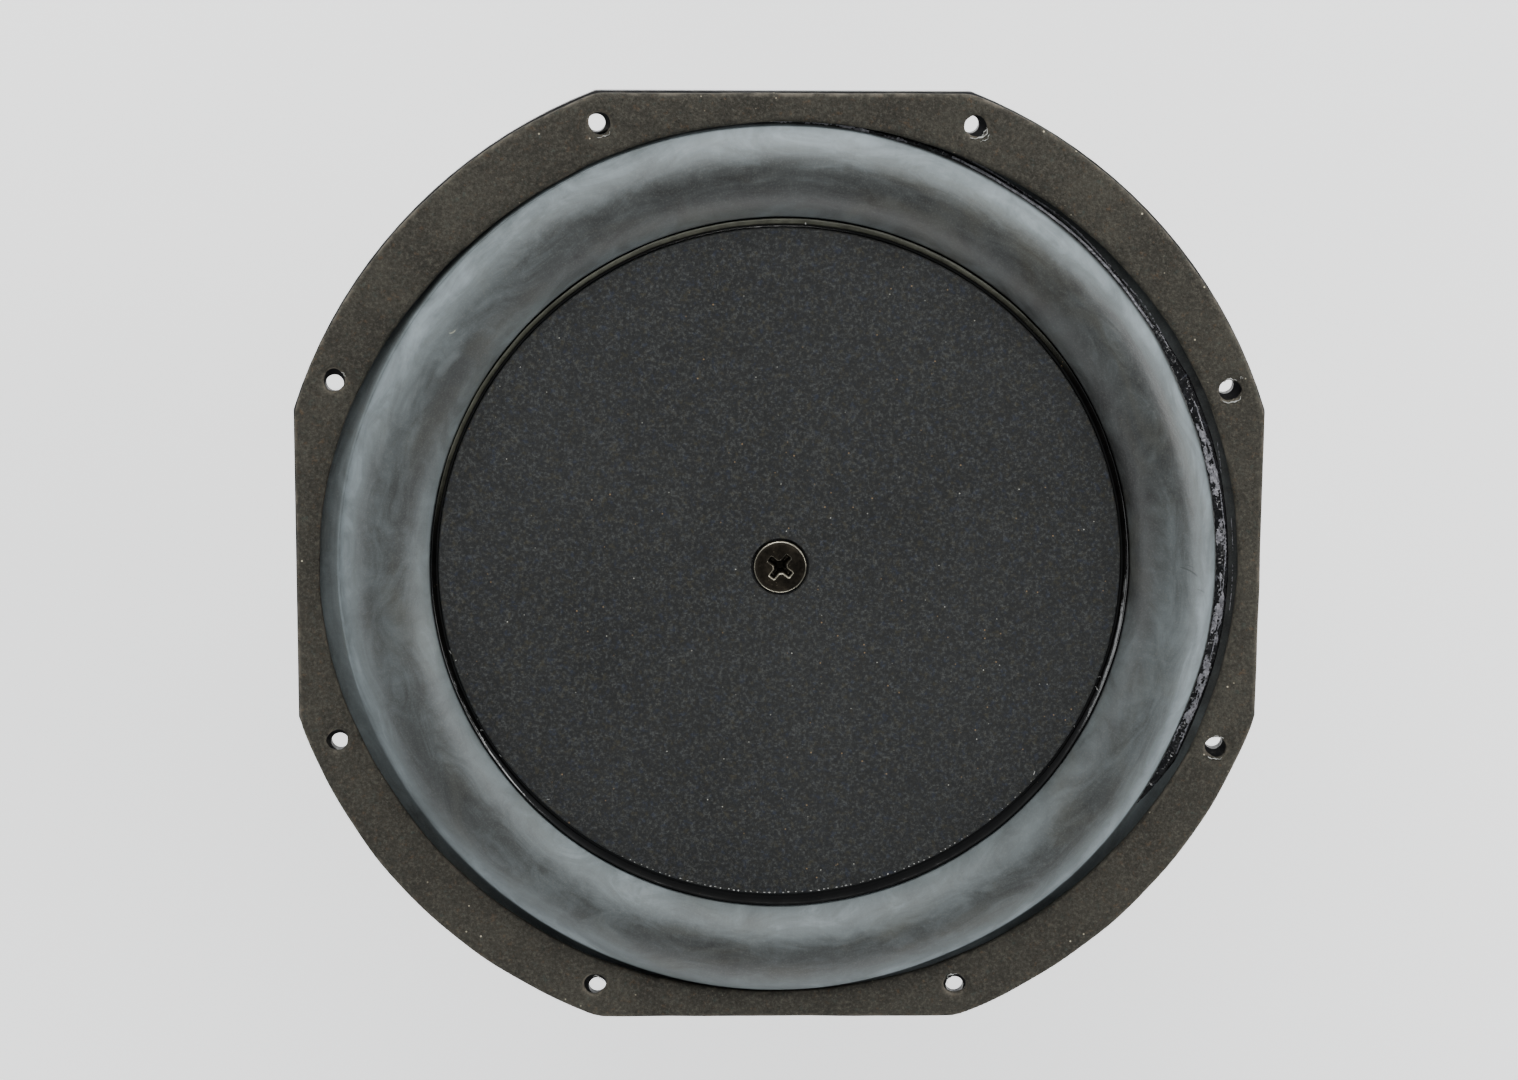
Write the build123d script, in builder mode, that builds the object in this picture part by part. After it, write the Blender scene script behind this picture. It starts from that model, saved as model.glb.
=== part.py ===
"""Ten-inch car subwoofer driver with a flat piston, cast basket and ferrite motor.

Frame: origin at the centre of the flange's rear mounting face, +Z out of the front
of the piston, +Y towards the short flat opposite the terminals. Millimetres.
"""

from build123d import *
import os
from math import cos, radians, sin, sqrt

os.makedirs("parts", exist_ok=True)

# ---------------------------------------------------------------- driving sizes
FLANGE_R = 128.5  # outer circle of the flange
FLANGE_X = 122.2  # half distance between the side flats
FLANGE_Y = 119.8  # half distance between the top and bottom flats
FLANGE_T = 3.0
BOLT_R = 121.0  # bolt circle radius, eight holes
BOLT_HOLE_R = 2.25
GASKET_T = 3.0
GASKET_IN_X = 116.0  # the gasket's opening is slightly oval
GASKET_IN_Y = 112.4
GASKET_HOLE_R = 2.85

LEDGE_R = 118.5  # recess that locates the surround's outer land
LEDGE_Z = 1.8
THROAT_R = 109.5

ROLL_C = 100.5  # centre circle of the surround's half roll
ROLL_R = 11.2  # outer radius of the roll section
RUBBER_T = 1.2
LAND_OUT = 118.0
LAND_IN = 84.0

DISC_R = 86.2
DISC_TOP = 6.3
DISC_STEP = 3.0
DISC_BOT = 1.0
DISC_CORE_R = 83.5

SHELF_Z = -45.0  # spider landing
TRAVEL = 14.0  # one-way travel of the piston

FORMER_IN = 25.0
FORMER_T = 0.3
COIL_T = 1.4
COIL_LEN = 32.0
PLATE_TOP = -70.0  # front face of the top plate
PLATE_T = 8.0
MAGNET_T = 30.0
BACK_T = 10.0
GAP_MID = PLATE_TOP - PLATE_T / 2
MAGNET_TOP = PLATE_TOP - PLATE_T
MAGNET_BOT = MAGNET_TOP - MAGNET_T
BACK_BOT = MAGNET_BOT - BACK_T
POLE_R = 24.6
VENT_R = 11.0
PLATE_BORE = 27.2

HEAD_R = 6.75  # centre screw head
SINK_R = 7.45  # countersink in the disc, wider than the head by a visible gap
SHANK_R = 3.0
SPOKES = 8
SPOKE_W = 15.0

# push terminals on the -Y side
TB_BACK = -74.3  # housing back face, on the casting's pad
TB_FRONT = -90.3
TB_TOP = -42.0
TB_BOT = -62.0
PAD_Z0 = -64.0
POST_X = 8.0
POST_Y = -82.5
EAR_X = 21.5
EAR_Z = -55.0
WIRE_Z = -52.2  # height of the speaker wire holes
WIRE_R = 1.8
BUTTON_TRAVEL = 3.0
STEM_R = 4.04
LUG_X = 15.0


def write(part):
    export_step(part, f"parts/{part.label}.step")
    print(part.label, "valid", part.is_valid, "solids", len(part.solids()), "volume", round(part.volume, 1))


def near(shapes, r=None, z=None, tol=0.2):
    """Vertices of a profile in the XZ plane at the given radius and height."""
    return [
        v
        for v in shapes
        if (r is None or abs(v.X - r) < tol) and (z is None or abs(v.Z - z) < tol)
    ]


# ---------------------------------------------------------------- basket casting
with BuildPart() as basket:
    with BuildSketch(Plane.XY) as outline:
        Circle(FLANGE_R)
        Rectangle(2 * FLANGE_X, 2 * FLANGE_Y, mode=Mode.INTERSECT)
        fillet(outline.vertices(), radius=3.0)
    extrude(amount=FLANGE_T)
    chamfer(basket.faces().sort_by(Axis.Z)[0].outer_wire().edges(), length=0.6)
    # bowl: throat, sloping wall, spider shelf, lower wall and motor seat
    with BuildSketch(Plane.XZ) as bowl:
        with BuildLine():
            FilletPolyline(
                (THROAT_R, 0.5),
                (THROAT_R, -8.0),
                (71.0, -40.5),
                (71.0, SHELF_Z),
                (59.0, SHELF_Z),
                (59.0, PLATE_TOP + 4.0),
                (31.0, PLATE_TOP + 4.0),
                (31.0, PLATE_TOP),
                (62.0, PLATE_TOP),
                (62.0, SHELF_Z - 3.0),
                (74.0, SHELF_Z - 3.0),
                (74.0, -42.0),
                (112.6, -9.5),
                (112.6, 0.5),
                radius=[0, 7, 2, 0, 1, 3, 0, 0, 3, 3, 3, 3, 10, 0],
                close=True,
            )
        make_face()
    revolve(axis=Axis.Z)
    # opening through the flange and the ledge for the surround
    with BuildSketch(Plane.XY.offset(-1.0)):
        Circle(THROAT_R)
    extrude(amount=6.0, mode=Mode.SUBTRACT)
    with BuildSketch(Plane.XY.offset(LEDGE_Z)):
        Circle(LEDGE_R)
    extrude(amount=3.0, mode=Mode.SUBTRACT)
    # large windows between the spokes
    with BuildSketch(Plane.XY.offset(-52.0)) as windows:
        Circle(106.0)
        Circle(78.0, mode=Mode.SUBTRACT)
        for k in range(SPOKES // 2):
            Rectangle(240.0, SPOKE_W, rotation=22.5 + 45 * k, mode=Mode.SUBTRACT)
        fillet(windows.vertices(), radius=5.0)
    extrude(amount=44.0, mode=Mode.SUBTRACT)
    # a rib down the back of each spoke
    for k in range(SPOKES):
        side = Plane.XZ.rotated((0, 0, 22.5 + 45 * k))
        with BuildSketch(side):
            with BuildLine():
                FilletPolyline(
                    (61.0, -69.0),
                    (61.0, -47.0),
                    (73.0, -47.0),
                    (73.0, -41.2),
                    (112.0, -8.4),
                    (112.0, -19.0),
                    (79.0, -52.0),
                    (66.5, -69.0),
                    radius=[0, 0, 0, 0, 0, 6, 14, 1.5],
                    close=True,
                )
            make_face()
        extrude(amount=2.2, both=True)
    # cooling slots under the spider shelf, none behind the terminals
    for k in (0, 1, 2, 3, 4, 5, 7):
        with BuildSketch(Plane.YZ.rotated((0, 0, 45 * k)).offset(55.0)):
            with Locations((0, -57.5)):
                RectangleRounded(26.0, 12.0, 4.0)
        extrude(amount=12.0, mode=Mode.SUBTRACT)
    # flange holes
    with BuildSketch(Plane.XY.offset(-1.0)):
        with PolarLocations(BOLT_R, 8, start_angle=22.5):
            Circle(BOLT_HOLE_R)
    extrude(amount=6.0, mode=Mode.SUBTRACT)
    # clearance holes for the motor screws
    with BuildSketch(Plane.XY.offset(PLATE_TOP - 1.0)):
        with PolarLocations(46.0, 4, start_angle=45):
            Circle(2.7)
    extrude(amount=6.0, mode=Mode.SUBTRACT)
    # flat pad for the terminal block, with its two screw holes
    with BuildSketch(Plane.XY.offset(PAD_Z0)):
        with Locations((0, (TB_BACK - 60.5) / 2)):
            Rectangle(52.0, -60.5 - TB_BACK)
    extrude(amount=-46.4 - PAD_Z0)
    with BuildSketch(Plane.XZ.offset(-TB_BACK + 0.5)):
        with Locations((-EAR_X, EAR_Z), (EAR_X, EAR_Z)):
            Circle(1.25)
    extrude(amount=-9.5, mode=Mode.SUBTRACT)
basket.part.label = "basket"
write(basket.part)

# ---------------------------------------------------------------- front gasket
with BuildPart() as front_gasket:
    with BuildSketch(Plane.XY.offset(FLANGE_T)) as ring:
        Circle(FLANGE_R)
        Rectangle(2 * FLANGE_X, 2 * FLANGE_Y, mode=Mode.INTERSECT)
        fillet(ring.vertices(), radius=3.0)
        Ellipse(GASKET_IN_X, GASKET_IN_Y, mode=Mode.SUBTRACT)
        with PolarLocations(BOLT_R, 8, start_angle=22.5):
            Circle(GASKET_HOLE_R, mode=Mode.SUBTRACT)
    extrude(amount=GASKET_T)
    fillet(front_gasket.faces().sort_by(Axis.Z)[-1].outer_wire().edges(), radius=0.5)
front_gasket.part.label = "front_gasket"
write(front_gasket.part)

# ---------------------------------------------------------------- surround
roll_top = sqrt(ROLL_R**2 - RUBBER_T**2)
with BuildPart() as surround:
    with BuildSketch(Plane.XZ) as section:
        with BuildLine():
            Polyline(
                (ROLL_C + ROLL_R - RUBBER_T, LEDGE_Z),
                (LAND_OUT, LEDGE_Z),
                (LAND_OUT, LEDGE_Z + RUBBER_T),
                (ROLL_C + roll_top, LEDGE_Z + RUBBER_T),
            )
            ThreePointArc(
                (ROLL_C + roll_top, LEDGE_Z + RUBBER_T),
                (ROLL_C, LEDGE_Z + ROLL_R),
                (ROLL_C - roll_top, LEDGE_Z + RUBBER_T),
            )
            Polyline(
                (ROLL_C - roll_top, LEDGE_Z + RUBBER_T),
                (LAND_IN, LEDGE_Z + RUBBER_T),
                (LAND_IN, LEDGE_Z),
                (ROLL_C - ROLL_R + RUBBER_T, LEDGE_Z),
            )
            ThreePointArc(
                (ROLL_C - ROLL_R + RUBBER_T, LEDGE_Z),
                (ROLL_C, LEDGE_Z + ROLL_R - RUBBER_T),
                (ROLL_C + ROLL_R - RUBBER_T, LEDGE_Z),
            )
        make_face()
    revolve(axis=Axis.Z)
surround.part.label = "surround"
write(surround.part)

# ---------------------------------------------------------------- piston disc
with BuildPart() as piston_disc:
    with BuildSketch(Plane.XY.offset(DISC_BOT)):
        Circle(DISC_CORE_R)
    extrude(amount=DISC_STEP - DISC_BOT)
    with BuildSketch(Plane.XY.offset(DISC_STEP)):
        Circle(DISC_R)
    extrude(amount=DISC_TOP - DISC_STEP)
    fillet(piston_disc.faces().sort_by(Axis.Z)[-1].edges(), radius=0.4)
    # countersunk hole for the centre screw
    with BuildSketch(Plane.XZ):
        Polygon(
            (0, DISC_BOT - 1),
            (3.2, DISC_BOT - 1),
            (3.2, 1.9),
            (SINK_R, 1.9 + SINK_R - 3.2),
            (SINK_R, DISC_TOP + 1),
            (0, DISC_TOP + 1),
            align=None,
        )
    revolve(axis=Axis.Z, mode=Mode.SUBTRACT)
piston_disc.part.label = "piston_disc"
write(piston_disc.part)

# ---------------------------------------------------------------- adhesive bead round the disc
with BuildPart() as edge_bead:
    with BuildSketch(Plane.XZ):
        with BuildLine():
            Polyline((86.4, 4.8), (86.4, DISC_STEP), (88.85, DISC_STEP), (88.85, 5.0))
            ThreePointArc((88.85, 5.0), (87.85, 5.85), (86.4, 4.8))
        make_face()
    revolve(axis=Axis.Z)
edge_bead.part.label = "edge_adhesive_bead"
write(edge_bead.part)

# ---------------------------------------------------------------- support cone behind the disc
with BuildPart() as support_cone:
    with BuildSketch(Plane.XZ):
        with BuildLine():
            FilletPolyline(
                (25.4, -26.0),
                (26.4, -26.0),
                (26.4, -20.0),
                (65.0, -0.2),
                (74.0, -0.2),
                (74.0, DISC_BOT),
                (64.6, DISC_BOT),
                (25.4, -19.1),
                radius=[0, 0, 3, 3, 0, 0, 3, 3],
                close=True,
            )
        make_face()
    revolve(axis=Axis.Z)
support_cone.part.label = "support_cone"
write(support_cone.part)

# ---------------------------------------------------------------- coupler between former and disc
with BuildPart() as coupler:
    with BuildSketch(Plane.XZ):
        with BuildLine():
            FilletPolyline(
                (3.3, DISC_BOT),
                (3.3, -12.0),
                (8.0, -12.0),
                (8.0, -2.5),
                (22.6, -2.5),
                (22.6, -30.0),
                (24.9, -30.0),
                (24.9, -3.0),
                (33.0, -3.0),
                (33.0, DISC_BOT),
                radius=[0, 0, 0.8, 2, 2, 0, 0, 0, 1, 0],
                close=True,
            )
        make_face()
    revolve(axis=Axis.Z)
    with BuildSketch(Plane.XY.offset(-3.5)):
        with PolarLocations(15.3, 6):
            Circle(3.2)
    extrude(amount=6.0, mode=Mode.SUBTRACT)
    for k in range(6):
        with BuildSketch(Plane.XZ.rotated((0, 0, 30 + 60 * k))):
            Polygon((7.0, -2.0), (7.0, -10.5), (23.5, -20.0), (23.5, -2.0), align=None)
        extrude(amount=0.9, both=True)
coupler.part.label = "coupler"
write(coupler.part)

# ---------------------------------------------------------------- voice coil former and winding
FORMER_BOT = GAP_MID - COIL_LEN / 2 - 1.5
with BuildPart() as coil_former:
    with BuildSketch(Plane.XY.offset(FORMER_BOT)):
        Circle(FORMER_IN + FORMER_T)
        Circle(FORMER_IN, mode=Mode.SUBTRACT)
    extrude(amount=-3.1 - FORMER_BOT)
    # vent holes above the spider
    for k in range(6):
        with BuildSketch(Plane.YZ.rotated((0, 0, 60 * k)).offset(20.0)):
            with Locations((0, -36.5)):
                Circle(2.2)
        extrude(amount=10.0, mode=Mode.SUBTRACT)
coil_former.part.label = "coil_former"
write(coil_former.part)

with BuildPart() as voice_coil:
    with BuildSketch(Plane.XZ):
        with BuildLine():
            r0 = FORMER_IN + FORMER_T + 0.02
            r1 = FORMER_IN + FORMER_T + COIL_T
            z0 = GAP_MID - COIL_LEN / 2
            rows = 16
            step = COIL_LEN / rows
            pts = [(r0, z0)]
            for i in range(rows):
                pts += [(r1 - 0.12, z0 + i * step), (r1, z0 + (i + 0.3) * step), (r1, z0 + (i + 0.7) * step)]
            pts += [(r1 - 0.12, z0 + COIL_LEN), (r0, z0 + COIL_LEN)]
            Polyline(*pts, close=True)
        make_face()
    revolve(axis=Axis.Z)
voice_coil.part.label = "voice_coil"
write(voice_coil.part)

# ---------------------------------------------------------------- spider
SPIDER_T = 0.7
WAVES = 4
S_IN, S_OUT = 29.0, 58.4
half = (S_OUT - S_IN) / (2 * WAVES)
s0 = SHELF_Z
with BuildPart() as spider:
    with BuildSketch(Plane.XZ):
        with BuildLine():
            for i in range(2 * WAVES):
                a, b = S_IN + i * half, S_IN + (i + 1) * half
                h = 1.1 if i % 2 == 0 else -1.1
                ThreePointArc((a, s0), ((a + b) / 2, s0 + h), (b, s0))
                ThreePointArc((a, s0 + SPIDER_T), ((a + b) / 2, s0 + h + SPIDER_T), (b, s0 + SPIDER_T))
            Polyline((S_OUT, s0), (70.5, s0), (70.5, s0 + SPIDER_T), (S_OUT, s0 + SPIDER_T))
            Polyline(
                (S_IN, s0),
                (26.2, s0),
                (26.2, s0 - 2.5),
                (25.45, s0 - 2.5),
                (25.45, s0 + SPIDER_T),
                (S_IN, s0 + SPIDER_T),
            )
        make_face()
    revolve(axis=Axis.Z)
spider.part.label = "spider"
write(spider.part)

# ---------------------------------------------------------------- motor
with BuildPart() as top_plate:
    with BuildSketch(Plane.XY.offset(MAGNET_TOP)):
        Circle(62.0)
        Circle(PLATE_BORE, mode=Mode.SUBTRACT)
    extrude(amount=PLATE_T)
    chamfer(top_plate.edges().filter_by(GeomType.CIRCLE).sort_by(SortBy.RADIUS)[-2:], length=0.8)
    with BuildSketch(Plane.XY.offset(PLATE_TOP)):
        with PolarLocations(46.0, 4, start_angle=45):
            Circle(2.1)
    extrude(amount=-7.0, mode=Mode.SUBTRACT)
top_plate.part.label = "top_plate"
write(top_plate.part)

with BuildPart() as magnet:
    with BuildSketch(Plane.XY.offset(MAGNET_BOT)):
        Circle(68.0)
        Circle(35.0, mode=Mode.SUBTRACT)
    extrude(amount=MAGNET_T)
    chamfer(magnet.edges().filter_by(GeomType.CIRCLE), length=1.2)
magnet.part.label = "magnet"
write(magnet.part)

with BuildPart() as pole_yoke:
    with BuildSketch(Plane.XZ):
        with BuildLine():
            FilletPolyline(
                (VENT_R, BACK_BOT),
                (58.0, BACK_BOT),
                (62.0, BACK_BOT + 4.0),
                (62.0, MAGNET_BOT),
                (34.0, MAGNET_BOT),
                (POLE_R, MAGNET_BOT - 1.0),
                (POLE_R, PLATE_TOP - 18.0),
                (POLE_R - 0.45, PLATE_TOP - 18.0),
                (POLE_R - 0.45, PLATE_TOP + 1.0),
                (VENT_R + 3.0, PLATE_TOP + 1.0),
                (VENT_R, PLATE_TOP - 4.0),
                radius=0,
                close=True,
            )
        make_face()
    revolve(axis=Axis.Z)
    # seat for the vent screen
    with BuildSketch(Plane.XY.offset(BACK_BOT)):
        Circle(VENT_R + 2.0)
    extrude(amount=1.2, mode=Mode.SUBTRACT)
pole_yoke.part.label = "pole_yoke"
write(pole_yoke.part)

with BuildPart() as shorting_sleeve:
    with BuildSketch(Plane.XY.offset(PLATE_TOP - 17.95)):
        Circle(POLE_R)
        Circle(POLE_R - 0.4, mode=Mode.SUBTRACT)
    extrude(amount=18.45)
shorting_sleeve.part.label = "shorting_sleeve"
write(shorting_sleeve.part)

with BuildPart() as magnet_boot:
    with BuildSketch(Plane.XZ):
        with BuildLine():
            FilletPolyline(
                (12.5, BACK_BOT - 2.5),
                (71.0, BACK_BOT - 2.5),
                (71.0, MAGNET_TOP - 0.5),
                (68.3, MAGNET_TOP - 0.5),
                (68.3, MAGNET_BOT - 0.2),
                (62.4, MAGNET_BOT - 0.3),
                (62.4, BACK_BOT),
                (12.5, BACK_BOT),
                radius=[0, 5, 1, 0, 0, 0, 0, 0],
                close=True,
            )
        make_face()
    revolve(axis=Axis.Z)
    # grip grooves round the side
    for z in (-86.0, -92.0, -98.0, -104.0):
        with BuildSketch(Plane.XZ):
            with Locations((71.0, z)):
                Circle(0.9)
        revolve(axis=Axis.Z, mode=Mode.SUBTRACT)
magnet_boot.part.label = "magnet_boot"
write(magnet_boot.part)

with BuildPart() as vent_screen:
    with BuildSketch(Plane.XY.offset(BACK_BOT + 0.2)):
        Circle(VENT_R + 1.9)
        with Locations((0, 0)):
            Circle(0.9, mode=Mode.SUBTRACT)
        for n, r in ((6, 2.9), (12, 5.8), (18, 8.7)):
            with PolarLocations(r, n):
                Circle(0.9, mode=Mode.SUBTRACT)
    extrude(amount=0.8)
vent_screen.part.label = "vent_screen"
write(vent_screen.part)

with BuildPart() as motor_screws:
    with BuildSketch(Plane.XY.offset(PLATE_TOP + 4.0)):
        with PolarLocations(46.0, 4, start_angle=45):
            Circle(4.2)
    extrude(amount=4.0)
    with BuildSketch(Plane.XY.offset(PLATE_TOP + 8.0)):
        with PolarLocations(46.0, 4, start_angle=45):
            RegularPolygon(2.3, 6)
    extrude(amount=-2.2, mode=Mode.SUBTRACT)
    with BuildSketch(Plane.XY.offset(PLATE_TOP + 4.0)):
        with PolarLocations(46.0, 4, start_angle=45):
            Circle(2.0)
    extrude(amount=-10.0)
motor_screws.part.label = "motor_screws"
write(motor_screws.part)

# ---------------------------------------------------------------- centre screw, washer and lock nut
HEAD_TOP = DISC_TOP + 0.35
with BuildPart() as centre_screw:
    with BuildSketch(Plane.XZ):
        Polygon(
            (0, -21.0),
            (2.4, -21.0),
            (SHANK_R, -20.4),
            (SHANK_R, 1.75),
            (HEAD_R - 0.1, 5.4),
            (HEAD_R, 5.6),
            (HEAD_R, 6.3),
            (HEAD_R - 0.35, HEAD_TOP),
            (0, HEAD_TOP),
            align=None,
        )
    revolve(axis=Axis.Z)
    # cross recess
    with BuildSketch(Plane.XY.offset(HEAD_TOP)) as cross:
        Rectangle(7.2, 1.75, rotation=52)
        Rectangle(7.2, 1.75, rotation=142)
        Circle(1.75)
        inner = cross.vertices().filter_by(lambda v: sqrt(v.X**2 + v.Y**2) < 2.2)
        outer = cross.vertices().filter_by(lambda v: sqrt(v.X**2 + v.Y**2) > 3.0)
        fillet(outer, radius=0.35)
    extrude(amount=-3.2, taper=14, mode=Mode.SUBTRACT)
centre_screw.part.label = "centre_screw"
write(centre_screw.part)

with BuildPart() as centre_washer:
    with BuildSketch(Plane.XY.offset(-13.2)):
        Circle(7.6)
        Circle(3.25, mode=Mode.SUBTRACT)
    extrude(amount=1.2)
centre_washer.part.label = "centre_washer"
write(centre_washer.part)

with BuildPart() as lock_nut:
    with BuildSketch(Plane.XY.offset(-18.4)):
        RegularPolygon(5.77, 6)
    extrude(amount=5.2)
    with BuildSketch(Plane.XZ):
        Polygon((0, -19.6), (4.7, -19.6), (5.2, -18.6), (6.4, -17.9), (6.4, -10.0), (0, -10.0), align=None)
    revolve(axis=Axis.Z, mode=Mode.INTERSECT)
    with BuildSketch(Plane.XY.offset(-19.6)):
        Circle(4.7)
    extrude(amount=1.3)
    with BuildSketch(Plane.XY.offset(-20.0)):
        Circle(SHANK_R + 0.03)
    extrude(amount=8.0, mode=Mode.SUBTRACT)
lock_nut.part.label = "lock_nut"
write(lock_nut.part)

# ---------------------------------------------------------------- push terminals
with BuildPart() as terminal_housing:
    with BuildSketch(Plane.XY.offset(TB_BOT)):
        with Locations((0, (TB_BACK + TB_FRONT) / 2)):
            Rectangle(36.0, TB_BACK - TB_FRONT)
    extrude(amount=TB_TOP - TB_BOT)
    fillet(terminal_housing.edges().filter_by(Axis.Z).group_by(Axis.Y)[0], radius=2.0)
    fillet(terminal_housing.edges().filter_by(Axis.X).group_by(Axis.Y)[0].sort_by(Axis.Z)[-1], radius=1.2)
    with BuildSketch(Plane.XZ.offset(-TB_BACK)):
        with Locations((0, EAR_Z)):
            RectangleRounded(50.0, 11.0, 3.0)
    extrude(amount=3.0)
    # a raised collar round each plunger
    with BuildSketch(Plane.XY.offset(TB_TOP - 0.5)):
        with Locations((-POST_X, POST_Y), (POST_X, POST_Y)):
            Circle(5.6)
    extrude(amount=1.3)
    # wells for the plungers, wider below for the contact sleeves
    with BuildSketch(Plane.XY.offset(TB_BOT - 1.0)):
        with Locations((-POST_X, POST_Y), (POST_X, POST_Y)):
            Circle(5.6)
    extrude(amount=-46.0 - TB_BOT + 1.0, mode=Mode.SUBTRACT)
    with BuildSketch(Plane.XY.offset(TB_BOT)):
        with Locations((-POST_X, POST_Y), (POST_X, POST_Y)):
            Circle(4.1)
    extrude(amount=24.0, mode=Mode.SUBTRACT)
    # wire holes in the front
    with BuildSketch(Plane.XZ.offset(-TB_FRONT + 1.0)):
        with Locations((-POST_X, WIRE_Z), (POST_X, WIRE_Z)):
            Circle(WIRE_R)
    extrude(amount=-6.0, mode=Mode.SUBTRACT)
    # screw holes in the ears
    with BuildSketch(Plane.XZ.offset(-TB_BACK + 4.0)):
        with Locations((-EAR_X, EAR_Z), (EAR_X, EAR_Z)):
            Circle(1.6)
    extrude(amount=-6.0, mode=Mode.SUBTRACT)
    # slots for the solder lugs and their feet
    with BuildSketch(Plane.XY.offset(TB_BOT - 1.0)):
        with Locations((-LUG_X, POST_Y), (LUG_X, POST_Y)):
            Rectangle(1.2, 4.3)
    extrude(amount=24.0, mode=Mode.SUBTRACT)
    with BuildSketch(Plane.XY.offset(TB_BOT - 1.0)):
        with Locations((-12.6, POST_Y), (12.6, POST_Y)):
            Rectangle(5.0, 4.3)
    extrude(amount=4.0, mode=Mode.SUBTRACT)
terminal_housing.part.label = "terminal_housing"
write(terminal_housing.part)

with BuildPart() as terminal_base:
    with BuildSketch(Plane.XY.offset(TB_BOT - 2.0)):
        with Locations((0, (TB_BACK + TB_FRONT) / 2)):
            RectangleRounded(35.0, TB_BACK - TB_FRONT - 1.0, 1.5)
    extrude(amount=2.0)
    # spigots that centre the springs
    with BuildSketch(Plane.XY.offset(TB_BOT - 0.5)):
        with Locations((-POST_X, POST_Y), (POST_X, POST_Y)):
            Circle(2.4)
    extrude(amount=2.3)
terminal_base.part.label = "terminal_base"
write(terminal_base.part)

with BuildPart() as terminal_contacts:
    for side in (-1, 1):
        with BuildSketch(Plane.XY.offset(TB_BOT + 0.1)):
            with Locations((side * POST_X, POST_Y)):
                Circle(5.5)
                Circle(4.9, mode=Mode.SUBTRACT)
        extrude(amount=-46.1 - TB_BOT - 0.1)
        with BuildSketch(Plane.XY.offset(TB_BOT + 0.1)):
            with Locations((side * 14.3, POST_Y)):
                Rectangle(2.2, 4.0)
        extrude(amount=0.9)
        with BuildSketch(Plane.XY.offset(TB_BOT + 0.1)):
            with Locations((side * LUG_X, POST_Y)):
                Rectangle(0.8, 4.0)
        extrude(amount=-36.0 - TB_BOT - 0.1)
    fillet(terminal_contacts.edges().filter_by(Axis.X).group_by(Axis.Z)[-1], radius=1.6)
    # entry for the wire in the front of each sleeve, wider than the housing's hole
    with BuildSketch(Plane.XZ.offset(-TB_FRONT)):
        with Locations((-POST_X, WIRE_Z), (POST_X, WIRE_Z)):
            Circle(WIRE_R + 0.6)
    extrude(amount=-6.0, mode=Mode.SUBTRACT)
    with BuildSketch(Plane.YZ.offset(-20.0)):
        with Locations((POST_Y, -38.0)):
            Circle(0.9)
    extrude(amount=40.0, mode=Mode.SUBTRACT)
terminal_contacts.part.label = "terminal_contacts"
write(terminal_contacts.part)

with BuildPart() as terminal_screws:
    with BuildSketch(Plane.XZ.offset(-TB_BACK + 3.0)):
        with Locations((-EAR_X, EAR_Z), (EAR_X, EAR_Z)):
            Circle(2.7)
    extrude(amount=1.9)
    fillet(terminal_screws.faces().sort_by(Axis.Y)[:2].edges(), radius=0.9)
    with BuildSketch(Plane.XZ.offset(-TB_BACK + 4.9)):
        with Locations((-EAR_X, EAR_Z), (EAR_X, EAR_Z)):
            Rectangle(2.8, 0.7)
            Rectangle(0.7, 2.8)
    extrude(amount=-1.2, mode=Mode.SUBTRACT)
    with BuildSketch(Plane.XZ.offset(-TB_BACK + 3.0)):
        with Locations((-EAR_X, EAR_Z), (EAR_X, EAR_Z)):
            Circle(1.2)
    extrude(amount=-10.5)
terminal_screws.part.label = "terminal_screws"
write(terminal_screws.part)

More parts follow.
